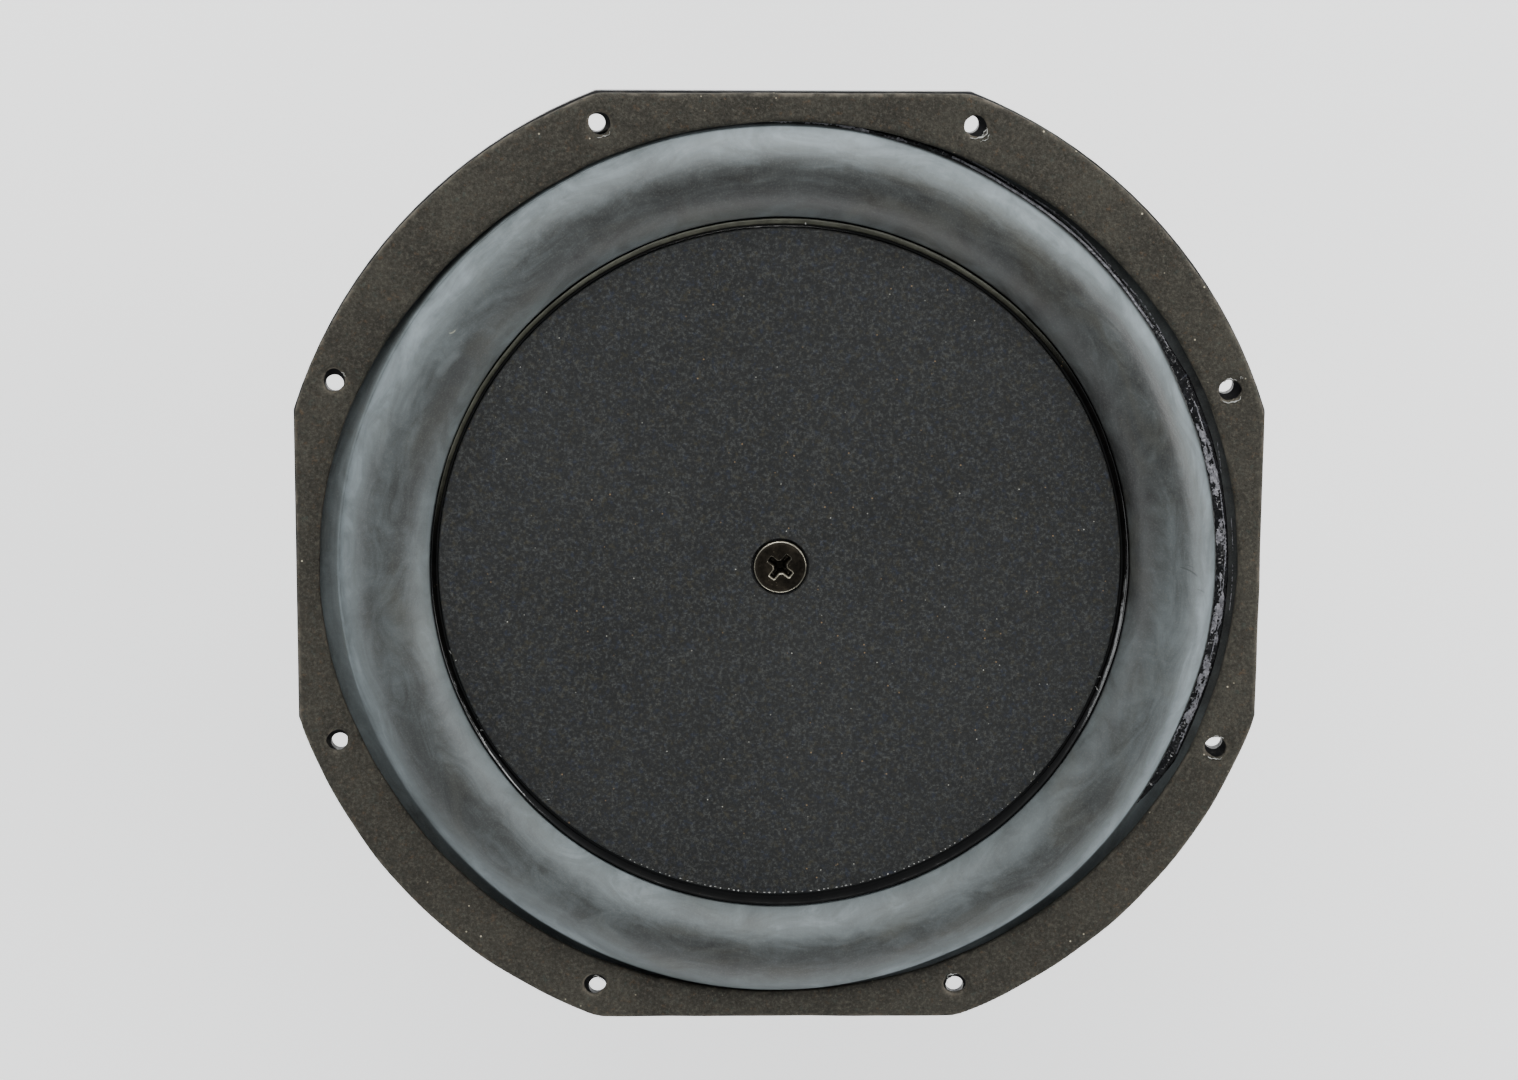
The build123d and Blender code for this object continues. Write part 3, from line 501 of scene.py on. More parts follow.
def metal(name, base, light, dark, rough=(0.22, 0.42), scale=1700.0, axis=(1, 1, 0.06), stain=0.35):
    m = Mat(name, Metallic=1.0)
    fine = m.noise(scale, 4.0, 0.7, src=m.vec(axis))
    tone = m.noise(90.0, 5.0, 0.65)
    c = m.mix(m.span(tone, 0.35, 0.7), base, light)
    c = m.mix(m.span(m.noise(260.0, 6.0, 0.75), 0.55, 0.75, 0.0, stain), c, dark)
    m.color(c)
    m.rough(m.span(fine, 0.3, 0.7, rough[0], rough[1]))
    m.normal(m.bump(fine, 0.2, 0.00012))
    return m


zinc = metal("zinc_steel", lin(168, 171, 176), lin(196, 198, 202), lin(110, 104, 96))
spring_mat = metal("spring_steel", lin(176, 177, 180), lin(205, 206, 208), lin(96, 92, 88))
tinned = metal("tinned_brass", lin(188, 178, 148), lin(214, 207, 184), lin(120, 104, 74))
copper = metal("copper_cap", lin(196, 118, 78), lin(222, 150, 106), lin(110, 64, 44))
solder_mat = metal("solder", lin(178, 180, 184), lin(208, 210, 213), lin(120, 112, 98), (0.18, 0.4), 700.0, (1, 1, 1))
former_mat = metal("former_foil", lin(150, 149, 147), lin(176, 175, 172), lin(96, 84, 66), (0.25, 0.45), 1500.0, (0.3, 0.3, 3.0))
screen_mat = metal("vent_mesh", lin(52, 52, 54), lin(70, 70, 72), lin(34, 30, 28), (0.35, 0.5), 900.0, (1, 1, 1))

# centre screw: black oxide, polished by handling on the raised edges, with painted highlights on the rim (strongest at
# top and bottom) and on the lower recess edges, oil and dust in the recess
screw_mat = Mat("black_oxide", Metallic=0.85)
q = screw_mat
unit, radius, zz = q.polar()
tone = q.noise(260.0, 5.0, 0.7)
scr = q.noise(2100.0, 3.0, 0.7, src=q.vec((1, 0.45, 1), (0, 0, 0.6)))
c = q.mix(q.span(tone, 0.35, 0.7), lin(34, 31, 27), lin(66, 60, 50))
wear_and_painted_highlight = q.math("MULTIPLY", q.attr("wear_and_painted_highlight"), q.span(q.noise(420.0, 4.0, 0.7), 0.30, 0.5, 0.45, 1.0))
c = q.mix(q.math("MULTIPLY", wear_and_painted_highlight, 0.9), c, lin(214, 208, 190))
c = q.mix(q.span(scr, 0.62, 0.74, 0.0, 0.3), c, lin(96, 90, 78))
c = q.mix(q.math("MULTIPLY", q.span(q.cells(1100.0), 0.06, 0.12, 1.0, 0.0), q.span(q.noise(300.0, 2.0), 0.5, 0.56, 0.0, 0.8)), c, lin(150, 138, 118))
q.color(c)
q.rough(q.span(tone, 0.3, 0.7, 0.24, 0.44))
q.normal(q.bump(scr, 0.25, 0.0001, q.bump(tone, 0.25, 0.0002)))

# pressed paper cone, black fibres
paper = Mat("cone_paper", Specular_IOR_Level=0.25)
q = paper
fib = q.noise(900.0, 6.0, 0.75, 2.5)
tone = q.noise(40.0, 4.0, 0.6)
c = q.mix(q.span(tone, 0.35, 0.7), lin(40, 38, 37), lin(56, 54, 52))
c = q.mix(q.span(fib, 0.55, 0.72, 0.0, 0.6), c, lin(104, 98, 90))
q.color(c)
q.rough(q.span(fib, 0.3, 0.7, 0.78, 0.94))
q.normal(q.bump(fib, 0.5, 0.0003))

# layered copper winding, varnished
coil_mat = Mat("varnished_winding", Metallic=0.85)
q = coil_mat
x, y, z = q.xyz()
turns = q.waves(260.0, axis="Z")
tone = q.noise(130.0, 4.0, 0.6)
c = q.mix(q.span(tone, 0.35, 0.7), lin(150, 78, 40), lin(186, 108, 62))
c = q.mix(q.span(turns, 0.0, 0.35, 0.7, 0.0), c, lin(60, 28, 16))
q.color(c)
q.rough(q.span(tone, 0.3, 0.7, 0.24, 0.4))
q.normal(q.bump(turns, 0.6, 0.0003))

# spider: woven cotton stiffened with resin
cloth = Mat("spider_cloth", Specular_IOR_Level=0.3)
q = cloth
wx = q.waves(180.0, axis="X", distort=0.4)
wy = q.waves(180.0, axis="Y", distort=0.4)
weave = q.math("MAXIMUM", wx, wy)
tone = q.noise(55.0, 5.0, 0.65)
c = q.mix(q.span(tone, 0.32, 0.7), lin(134, 98, 50), lin(168, 132, 78))
c = q.mix(q.span(weave, 0.2, 0.75, 0.75, 0.0), c, lin(82, 54, 26))
q.color(c)
q.rough(q.span(weave, 0.0, 1.0, 0.6, 0.88))
q.normal(q.bump(weave, 0.8, 0.0003))

# tinsel braid: pale copper strands
braid_mat = metal("tinsel_braid", lin(196, 140, 92), lin(222, 176, 128), lin(120, 78, 46), (0.3, 0.5), 2600.0, (1, 1, 1), 0.5)

# ------------------------------------------------------------------ surround (replaces the CAD ring)
lo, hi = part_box("surround")
land_z = lo.z + 1.2 * MM
RC, RO, RI = 100.5 * MM, 11.2 * MM, 10.0 * MM
base_z = lo.z
a0 = math.asin(1.2 / 11.2)
top = dense([(117.8 * MM, land_z), (RC + RO * math.cos(a0), land_z)], 0.6 * MM)[:-1]
n_roll = 64
roll = [(RC + RO * math.cos(a0 + (math.pi - 2 * a0) * i / n_roll), base_z + RO * math.sin(a0 + (math.pi - 2 * a0) * i / n_roll)) for i in range(n_roll + 1)]
inner = dense([(RC - RO * math.cos(a0), land_z), (84.3 * MM, land_z)], 0.6 * MM)[1:]
upper = smooth_profile(top + roll + inner, True, 6)
under = [(84.3 * MM, base_z + 0.05 * MM)] + [
    (RC + RI * math.cos(math.pi - math.pi * i / 40), base_z + 0.02 * MM + (RI - 0.02 * MM) * math.sin(math.pi * i / 40)) for i in range(41)
] + [(117.8 * MM, base_z + 0.05 * MM)]
prof = np.vstack([upper, np.array(under)])
# position across the roll: -1 at the outer foot, 0 on the crest, 1 at the inner foot
arc = np.zeros(len(prof))
for i, (r, z) in enumerate(prof):
    arc[i] = np.clip((RC - r) / RO, -1.6, 1.6)


def ease(x, lo, hi):
    t = np.clip((x - lo) / (hi - lo), 0, 1)
    return t * t * (3 - 2 * t)


SEG = 540
th = np.linspace(0, 2 * math.pi, SEG, endpoint=False)


def ring_table(T, table):
    """A closed curve through (degrees, value) pairs, eased between them."""
    d = np.array([p[0] for p in table], float)
    v = np.array([p[1] for p in table], float)
    grid = np.arange(0, 720) * 0.5
    y = np.interp(grid, np.r_[d - 360, d, d + 360], np.r_[v, v, v])
    k = np.hanning(25)
    y = np.convolve(np.r_[y[-60:], y, y[:60]], k / k.sum(), "same")[60:-60]
    return np.interp(np.degrees(T) % 360, np.r_[grid, 360], np.r_[y, y[0]])


# the glued outer foot does not run true: it sits further in on the right and further out at the bottom
FOOT = [(0, -1.05), (15, -1.35), (21, -1.5), (23, -1.95), (25, -1.55), (32, -1.15), (60, -1.0), (72, -0.5), (82, 0.0), (115, 0.1), (150, -0.1),
        (180, 0.0), (215, 0.1), (240, 0.5), (262, 1.2), (275, 1.2), (292, 0.5), (312, 0.4), (326, -0.5), (338, -1.1), (350, -0.7)]


def foot_shift(T):
    return ring_table(T, FOOT) * MM


def wall_shift(T):
    """How far the inner foot stands in from the nominal roll."""
    return (-0.79 + 0.175 * np.cos(T) - 0.5 * np.sin(T) - 0.39 * np.cos(2 * T)) * MM


def roll_move(T, I, r, z):
    on_roll = np.clip(1 - np.abs((r - RC) / (RO * 1.02)) ** 4, 0, 1)
    swell = wave(T, [(0.10, 2, 0.4), (0.08, 3, 1.9), (0.06, 5, 0.2), (0.03, 9, 2.2), (0.02, 14, 0.7)]) * MM
    lean = wave(T, [(0.10, 2, 2.4), (0.06, 4, 0.9), (0.04, 7, 2.1)]) * MM
    dz = (swell - 0.27 * MM) * on_roll
    w_out = ease(r, RC, RC + RO) * (1 - ease(r, RC + RO + 1.5 * MM, 117.6 * MM))
    w_in = 1 - ease(r, RC - RO, RC)
    # the left side fills out into the land with a softer fillet
    soft = ease(np.cos(T - math.radians(150)), 0.45, 0.9)
    fillet = soft * np.clip(1 - np.abs(r - (RC + RO + 0.2 * MM)) / (2.6 * MM), 0, 1) ** 2 * 1.1 * MM
    fillet = np.where((z < base_z + 3.0 * MM) & (z > base_z + 1.0 * MM), fillet, 0)
    return r + lean * on_roll + w_out * foot_shift(T) + w_in * wall_shift(T), z + np.where(z > base_z + 1.0 * MM, dz, dz * 0.6) + fillet


surround = lathe("surround_rubber", prof, SEG, move=roll_move, attrs={"arc": arc})
# bloom and painted light: dusty slopes, a cleaner crest, and painted light and shade that change round the ring
T = np.repeat(th, len(prof))
A = np.tile(arc, SEG)
# per-angle tables of painted light and shade on top of the bloom: where the bright slope bands begin, and how bright
# the inner slope is (darker on the right, brighter at the bottom and left)
OUT_LO = [(0, -0.1), (15, 0.1), (30, 0.42), (45, 0.1), (60, -0.05), (90, -0.05), (120, -0.15), (145, 0.1), (165, 0.25), (200, 0.28), (240, 0.25), (300, 0.25),
          (330, 0.2), (345, 0.05)]
IN_LO = [(0, 0.2), (30, 0.3), (60, 0.45), (90, 0.5), (120, 0.45), (150, 0.35), (180, 0.3), (210, 0.3), (240, 0.15), (270, 0.0), (300, -0.05), (330, 0.15)]
IN_AMT = [(0, -0.12), (30, -0.10), (60, 0.08), (90, 0.20), (120, 0.18), (150, 0.20), (180, 0.32), (210, 0.24), (240, 0.34), (270, 0.40), (300, 0.34), (330, 0.10)]
out_lo, in_lo, in_amt = (ring_table(T, tb) for tb in (OUT_LO, IN_LO, IN_AMT))
outer = np.clip((-A - out_lo) / (0.9 - out_lo), 0, 1)
outer = outer * outer * (3 - 2 * outer) * (1 - ease(-A, 1.0, 1.06))
inn = np.clip((A - in_lo) / 0.55, 0, 1)
inn = inn * inn * (3 - 2 * inn)
c1, s1 = np.cos(T), np.sin(T)
# painted light: a brighter patch over the outer slope and crest near 152 degrees, and a brighter crest near 2 degrees
left_painted_light = np.exp(-((((np.degrees(T) - 152 + 180) % 360) - 180) / 24.0) ** 2) * (1 - ease(A, 0.0, 0.6)) * (1 - ease(-A, 0.9, 1.02))
right_crest_painted_light = np.exp(-((((np.degrees(T) - 2 + 180) % 360) - 180) / 20.0) ** 2) * np.exp(-((A - 0.1) / 0.4) ** 2)
# painted shade: the bloom drops to nothing in a thin line along the roll's outer foot, strongest from about 25 to 75
# degrees, a black line for the shadow in the gap there
foot_gap_painted_shade = ring_table(T, [(0, 0.2), (18, 0.5), (25, 1.0), (75, 1.0), (95, 0.35), (130, 0.0), (300, 0.0), (330, 0.3), (350, 0.5)]) * np.exp(-((A + 1.03) / 0.04) ** 2)
# painted light and shade: the outer slope brighter on the right, the crest darker at the top and lighter at the bottom
bloom_and_painted_light = (
    0.27
    + outer * (0.48 + 0.02 * s1 + 0.09 * c1)
    + inn * in_amt
    - 0.05 * s1 * (1 - outer) * (1 - inn)
    + 0.20 * left_painted_light
    + 0.15 * right_crest_painted_light
    + 0.03 * np.cos(3 * T + 1.0)
    + 0.03 * np.cos(7 * T + 2.0)
)
# painted light on the outer land: brighter on the left, along the bottom and at the lower right
land = 0.20 + 0.26 * ease(np.cos(T - math.radians(165)), 0.2, 0.9) + 0.18 * ease(-s1, 0.1, 0.9) + 0.14 * ease(np.cos(T - math.radians(305)), 0.6, 0.95)
bloom_and_painted_light = np.where(A < -1.0, land, np.where(A > 1.02, 0.16, bloom_and_painted_light)) * (1 - foot_gap_painted_shade)
at = surround.data.attributes.new("bloom_and_painted_light", "FLOAT", "POINT")
at.data.foreach_set("value", np.clip(bloom_and_painted_light, 0, 1).astype(np.float32))
assign(surround, rubber)
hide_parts("surround")


def radial_blend(ob):
    """Bakes the object's transform into its mesh."""
    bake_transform(ob)


radial_blend(surround)

# ------------------------------------------------------------------ gasket (soft ring, die cut)
glo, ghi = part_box("front_gasket")
G0, G1 = glo.z, ghi.z


def flange_outline(step=1.0):
    """Circle cut by four flats, corners slightly rounded, in millimetres."""
    rr, fx, fy = 128.3, 122.0, 119.6
    pts = []
    n = int(2 * math.pi * rr / step)
    for i in range(n):
        t = 2 * math.pi * i / n
        x, y = rr * math.cos(t), rr * math.sin(t)
        kx = fx / abs(x) if abs(x) > fx else 1.0
        ky = fy / abs(y) if abs(y) > fy else 1.0
        pts.append((x * kx if abs(x) > fx else x, y * ky if abs(y) > fy else y))
    q = np.array(pts)
    for _ in range(5):
        q = 0.5 * q + 0.25 * (np.roll(q, 1, 0) + np.roll(q, -1, 0))
    t = np.arctan2(q[:, 1], q[:, 0])
    d = wave(t, [(0.07, 5, 0.3), (0.06, 11, 1.2), (0.05, 23, 0.5), (0.04, 41, 2.0)]) - 0.12
    return q * (1 + d / np.hypot(q[:, 0], q[:, 1]))[:, None]


def spline(cu, pts):
    sp = cu.splines.new("POLY")
    sp.points.add(len(pts) - 1)
    for p, (x, y) in zip(sp.points, pts):
        p.co = (x * MM, y * MM, 0, 1)
    sp.use_cyclic_u = True


cu = bpy.data.curves.new("gasket_outline", "CURVE")
cu.dimensions = "2D"
cu.fill_mode = "BOTH"
bev = 0.55 * MM
cu.extrude = (G1 - G0) / 2 - bev
cu.bevel_depth = bev
cu.bevel_resolution = 2
cu.offset = -bev
spline(cu, flange_outline())
t = np.linspace(0, 2 * math.pi, 700, endpoint=False)
INNER = [(0, 0.3), (20, 0.15), (45, 0.0), (70, 0.0), (90, 0.0), (108, -0.35), (120, -0.95), (132, -1.3), (142, -1.25), (158, -0.45),
         (172, 0.2), (186, 0.4), (200, 0.15), (210, -0.1), (224, 0.4), (240, 0.75), (248, 0.8), (251, 0.5), (262, 0.45),
         (276, 0.25), (292, 0.6), (312, 0.3), (326, 0.35), (334, 0.6), (350, 0.35)]
rin = 1.0 / np.sqrt((np.cos(t) / 115.9) ** 2 + (np.sin(t) / 112.5) ** 2)
rin = rin + ring_table(t, INNER) + wave(t, [(0.05, 13, 0.4), (0.05, 31, 1.0), (0.04, 47, 0.3)])
rin = np.maximum(rin, 112.05)
spline(cu, np.stack([rin * np.cos(t), rin * np.sin(t)], -1))


def gasket_inner(T):
    base = 1.0 / np.sqrt((np.cos(T) / 115.9) ** 2 + (np.sin(T) / 112.5) ** 2)
    return np.maximum(base + ring_table(T, INNER), 112.05)


HOLES = []
for k in range(8):
    a = math.radians(22.5 + 45 * k)
    cx, cy = 121.0 * math.cos(a), 121.0 * math.sin(a)
    # the soft ring was punched a little off the casting's holes
    cx += (1.15, 1.35, 0.80, 0.0, -0.60, -0.65, -0.15, 0.40)[k]
    cy += (-1.05, -0.30, 0.10, 1.15, 0.80, 1.05, 1.0, -1.30)[k]
    t = np.linspace(0, 2 * math.pi, 60, endpoint=False)
    rr = 2.78 + wave(t, [(0.15, 2, k * 1.1), (0.10, 3, k * 2.3), (0.06, 7, k * 0.7), (0.05, 11, k * 1.9), (0.03, 19, k * 0.4)])
    HOLES.append((cx, cy))
    spline(cu, np.stack([cx + rr * np.cos(t), cy + rr * np.sin(t)], -1))
tmp = bpy.data.objects.new("gasket_outline", cu)
bpy.context.scene.collection.objects.link(tmp)
bpy.context.view_layer.update()
me = bpy.data.meshes.new_from_object(tmp.evaluated_get(bpy.context.evaluated_depsgraph_get()))
bpy.data.objects.remove(tmp)
me.transform(Matrix.Translation((0, 0, (G0 + G1) / 2)))
gasket = bpy.data.objects.new("gasket_foam", me)
bpy.context.scene.collection.objects.link(gasket)
bm = bmesh.new()
bm.from_mesh(me)
bmesh.ops.remove_doubles(bm, verts=bm.verts, dist=0.00002)
bmesh.ops.recalc_face_normals(bm, faces=bm.faces)
bm.to_mesh(me)
bm.free()
rem = gasket.modifiers.new("remesh", "REMESH")
rem.mode = "VOXEL"
rem.voxel_size = 0.00055
sm = gasket.modifiers.new("smooth", "SMOOTH")
sm.factor = 0.5
sm.iterations = 3
bpy.context.view_layer.update()
me2 = bpy.data.meshes.new_from_object(gasket.evaluated_get(bpy.context.evaluated_depsgraph_get()))
gasket.modifiers.clear()
gasket.data = me2
co = np.zeros(len(me2.vertices) * 3, np.float32)
me2.vertices.foreach_get("co", co)
co = co.reshape(-1, 3).astype(float)
nz = np.array([noise.noise(Vector(p) * 800.0) * 0.7 + noise.noise(Vector(p) * 110.0) for p in co])
top_side = ease(co[:, 2], G0 + 1.2 * MM, G1 - 0.3 * MM)
pucker = np.zeros(len(co))
for k, (cx, cy) in enumerate(HOLES):
    dx, dy = co[:, 0] / MM - cx, co[:, 1] / MM - cy
    dd = np.hypot(dx, dy)
    side = 0.6 + 0.4 * np.cos(np.arctan2(dy, dx) + math.radians((40, 50, 40, 250, 220, 240, 90, 60)[k]))
    pucker += np.exp(-((dd - 3.0) / 1.1) ** 2) * 0.42 * side - np.exp(-((dd - 5.2) / 1.2) ** 2) * 0.10
co[:, 2] += top_side * (nz * 0.10 - 0.10 - pucker) * MM
co[:, 2] = np.clip(co[:, 2], G0 + 0.01 * MM, G1)
me2.vertices.foreach_set("co", co.astype(np.float32).ravel())
# lip: near an edge of the top face
rr = np.hypot(co[:, 0], co[:, 1])
tt = np.arctan2(co[:, 1], co[:, 0])
edge_out = np.minimum.reduce([128.4 * MM - rr, 122.1 * MM - np.abs(co[:, 0]), 119.7 * MM - np.abs(co[:, 1])])
edge_in = rr - gasket_inner(tt) * MM
edge_hole = np.full(len(co), 1.0)
for cx, cy in HOLES:
    edge_hole = np.minimum(edge_hole, np.hypot(co[:, 0] - cx * MM, co[:, 1] - cy * MM) - 2.75 * MM)
lipv = np.maximum.reduce([1 - ease(edge_out, 0.2 * MM, 1.3 * MM), 0.6 * (1 - ease(edge_in, 0.2 * MM, 1.0 * MM)), 1 - ease(edge_hole, 0.1 * MM, 0.9 * MM)])
at = me2.attributes.new("lip", "FLOAT", "POINT")
at.data.foreach_set("value", (lipv * top_side).astype(np.float32))
me2.polygons.foreach_set("use_smooth", [True] * len(me2.polygons))
me2.update()
assign(gasket, gasket_mat)
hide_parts("front_gasket")
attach(gasket, "frame")

# torn slivers of the foam skin hanging at some of the hole lips
slivers_v, slivers_f = [], []


def sliver(cx, cy, r, a0, a1, width, z0, bow, phase, twist=0.0):
    n = 40
    base = len(slivers_v)
    for i in range(n):
        u = i / (n - 1)
        a = math.radians(a0 + (a1 - a0) * u)
        taper = math.sin(math.pi * min(max(u, 0.03), 0.97)) ** 0.5
        rr = r + bow * math.sin(math.pi * u) + 0.16 * math.sin(9 * u + phase) + 0.07 * math.sin(23 * u + 2 * phase)
        w = width * taper * (0.75 + 0.35 * math.sin(13 * u + phase))
        z = z0 + 0.12 * math.sin(7 * u + phase * 1.7)
        for k in range(6):
            b = 2 * math.pi * k / 6 + twist * u
            q = rr + 0.5 * w * math.cos(b)
            slivers_v.append(((cx + q * math.cos(a)) * MM, (cy + q * math.sin(a)) * MM, z * MM + 0.10 * MM * math.sin(b)))
    for i in range(n - 1):
        for k in range(6):
            k2 = (k + 1) % 6
            slivers_f.append((base + i * 6 + k, base + i * 6 + k2, base + (i + 1) * 6 + k2, base + (i + 1) * 6 + k))
    slivers_f.append(tuple(base + k for k in range(6))[::-1])
    slivers_f.append(tuple(base + (n - 1) * 6 + k for k in range(6)))


GT = G1 / MM
for k, parts in {
    0: [(3.0, -128, -28, 0.42, GT - 0.35, 0.1, 0.4), (2.9, 60, 128, 0.3, GT - 0.3, 0.2, 2.0), (4.3, 48, 58, 0.5, GT - 0.12, 0.0, 1.0)],
    1: [(2.9, -118, -10, 0.5, GT - 0.35, 0.15, 1.1), (3.9, -75, -30, 0.22, GT - 0.15, 0.1, 2.6), (2.6, -60, -5, 0.3, GT - 0.8, 0.0, 0.3)],
    2: [(3.3, -100, -35, 0.25, GT - 0.2, 0.1, 0.9)],
    3: [(3.0, 20, 48, 0.3, GT - 0.25, 0.0, 1.9)],
    5: [(2.2, 20, 100, 0.3, GT - 1.0, 0.0, 0.8)],
    6: [(2.7, 80, 140, 0.35, GT - 0.4, 0.1, 1.4), (1.9, 100, 190, 0.25, GT - 1.4, 0.1, 2.2)],
    7: [(2.9, -135, -60, 0.3, GT - 0.3, 0.1, 0.2), (3.0, 55, 110, 0.3, GT - 0.3, 0.1, 1.2)],
}.items():
    for r, a_, b_, w_, z_, bow, ph in parts:
        sliver(HOLES[k][0], HOLES[k][1], r, a_, b_, w_, z_, bow, ph, 1.0)
torn = obj_from("gasket_hole_tears", slivers_v, slivers_f)
assign(torn, tear_mat)
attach(torn, "frame")

# ------------------------------------------------------------------ adhesive bead round the disc
blo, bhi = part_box("edge_adhesive_bead")
B0, B1 = blo.z, bhi.z
bead_prof = [(86.40, 3.02), (86.40, 4.75), (86.65, 4.6), (86.95, 4.6), (87.2, 4.78), (87.6, 5.02), (87.95, 5.27), (88.2, 5.5), (88.32, 5.52), (88.42, 5.3), (88.5, 4.7), (88.7, 4.55), (88.85, 4.75), (88.85, 3.02)]
bead_prof = dense([(r * MM, z * MM) for r, z in bead_prof], 0.12 * MM)
bead_prof = np.array(bead_prof)


def bead_move(T, I, r, z):
    up = np.clip((z - 3.2 * MM) / (2.4 * MM), 0, 1)
    out = np.clip((r - 86.6 * MM) / (2.2 * MM), 0, 1)
    dz = wave(T, [(0.05, 6, 0.2), (0.04, 17, 1.4), (0.02, 43, 0.3), (0.01, 71, 2.0)]) * MM
    dr = wave(T, [(0.06, 9, 1.0), (0.03, 29, 0.2), (0.02, 57, 2.2)]) * MM
    shift = (1.05 * MM + wall_shift(T)) * 1.0 * out
    return r + dr * up + shift, np.clip(z + (dz - 0.05 * MM) * up, B0, B1)


bead = lathe("edge_glue_bead", bead_prof, 900, move=bead_move)
TB = np.repeat(np.linspace(0, 2 * math.pi, 900, endpoint=False), len(bead_prof))
RB = np.tile(bead_prof[:, 0], 900) / MM
# a lighter, duller band along the bead's top stretch, centred near 104 degrees
dust = ease(np.cos(TB - math.radians(104)), 0.30, 0.72) * np.clip((RB - 86.95) / 0.4, 0, 1) * np.clip((88.45 - RB) / 0.1, 0, 1)
at = bead.data.attributes.new("film", "FLOAT", "POINT")
at.data.foreach_set("value", (dust * 0.95).astype(np.float32))
assign(bead, glue)
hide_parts("edge_adhesive_bead")
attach(bead, "piston")

# pale beads on the disc's lower rim that paint the edge's highlight line, and crumbs of dried adhesive and lint caught
# near the rim
cv, cf = [], []


def pale_rim_bit(x, y, z, sx, sy, sz, a, seed):
    base = len(cv)
    rg = np.random.default_rng(seed)
    rings, sides = 4, 7
    for i in range(rings):
        ph = math.pi * (i + 0.5) / rings
        for k in range(sides):
            b = 2 * math.pi * k / sides
            j = 1 + rg.uniform(-0.28, 0.28)
            u, v, w = sx * math.sin(ph) * math.cos(b) * j, sy * math.sin(ph) * math.sin(b) * j, sz * math.cos(ph) * j
            cv.append(((x + u * math.cos(a) - v * math.sin(a)) * MM, (y + u * math.sin(a) + v * math.cos(a)) * MM, (z + w) * MM))
    for i in range(rings - 1):
        for k in range(sides):
            k2 = (k + 1) % sides
            cf.append((base + i * sides + k, base + (i + 1) * sides + k, base + (i + 1) * sides + k2, base + i * sides + k2))
    cf.append(tuple(base + k for k in range(sides)))
    cf.append(tuple(base + (rings - 1) * sides + k for k in range(sides))[::-1])


# painted highlight: a dotted row of pale beads on the rim from 241 to 319 degrees, thickest near 272, standing in for
# the edge's highlight line
rim = np.random.default_rng(21)
a_ = 241.0
n_c = 0
while a_ < 319.0:
    a_ += rim.uniform(0.7, 1.5)
    thick = 0.5 + 0.5 * math.exp(-((a_ - 272) / 28) ** 2)
    if rim.random() < 0.45 + 0.45 * thick:
        t_ = math.radians(a_)
        r_ = 85.72 + rim.uniform(-0.08, 0.10)
        pale_rim_bit(r_ * math.cos(t_), r_ * math.sin(t_), 6.26, rim.uniform(0.10, 0.2) * thick + 0.04, rim.uniform(0.16, 0.34) * thick + 0.05, 0.07, t_, n_c)
        n_c += 1
# crumbs of dried adhesive and lint near the rim
for a_, r_, l_, w_, turn in ((195, 86.4, 1.3, 0.10, 0.3), (207.5, 86.2, 0.9, 0.09, 1.2), (209.5, 86.9, 1.0, 0.08, 0.9), (215, 86.5, 0.9, 0.14, 0.2), (196.5, 85.6, 0.5, 0.1, 1.8),
                             (226, 84.6, 0.7, 0.08, 0.7), (320.5, 84.9, 1.2, 0.12, 0.4), (338.5, 87.2, 1.5, 0.10, 1.0), (340.5, 86.6, 1.2, 0.09, 2.1), (142, 82.9, 0.5, 0.1, 0.3),
                             (331, 86.4, 0.5, 0.12, 0.8), (309, 83.6, 0.5, 0.1, 2.3), (86.3, 87.4, 0.55, 0.2, 1.57)):
    t_ = math.radians(a_)
    pale_rim_bit(r_ * math.cos(t_), r_ * math.sin(t_), 6.28 if r_ < 86 else 5.4, w_, l_ * 0.5, 0.06, t_ + turn, n_c)
    n_c += 1
rim_bits = obj_from("rim_highlight_beads_and_lint", cv, cf)
assign(rim_bits, tear_mat)
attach(rim_bits, "piston")

# ------------------------------------------------------------------ cement outside the roll
# a black glossy bed on the surround's outer land, and over it the pale skin left when the old joint tore, with a few
# pale strips that paint highlight lines
A0, A1 = -44.0, 116.0
n_t = 2600
TT = np.radians(np.linspace(A0, A1, n_t))
deg = np.degrees(TT)


def band(x, a, b, soft):
    return np.clip(np.minimum((x - a) / soft, (b - x) / soft), 0, 1)


FT = (RC + RO) / MM + ring_table(TT, FOOT)
GI = gasket_inner(TT)


def grain3(v, k):
    return noise.noise(Vector(v) * k)


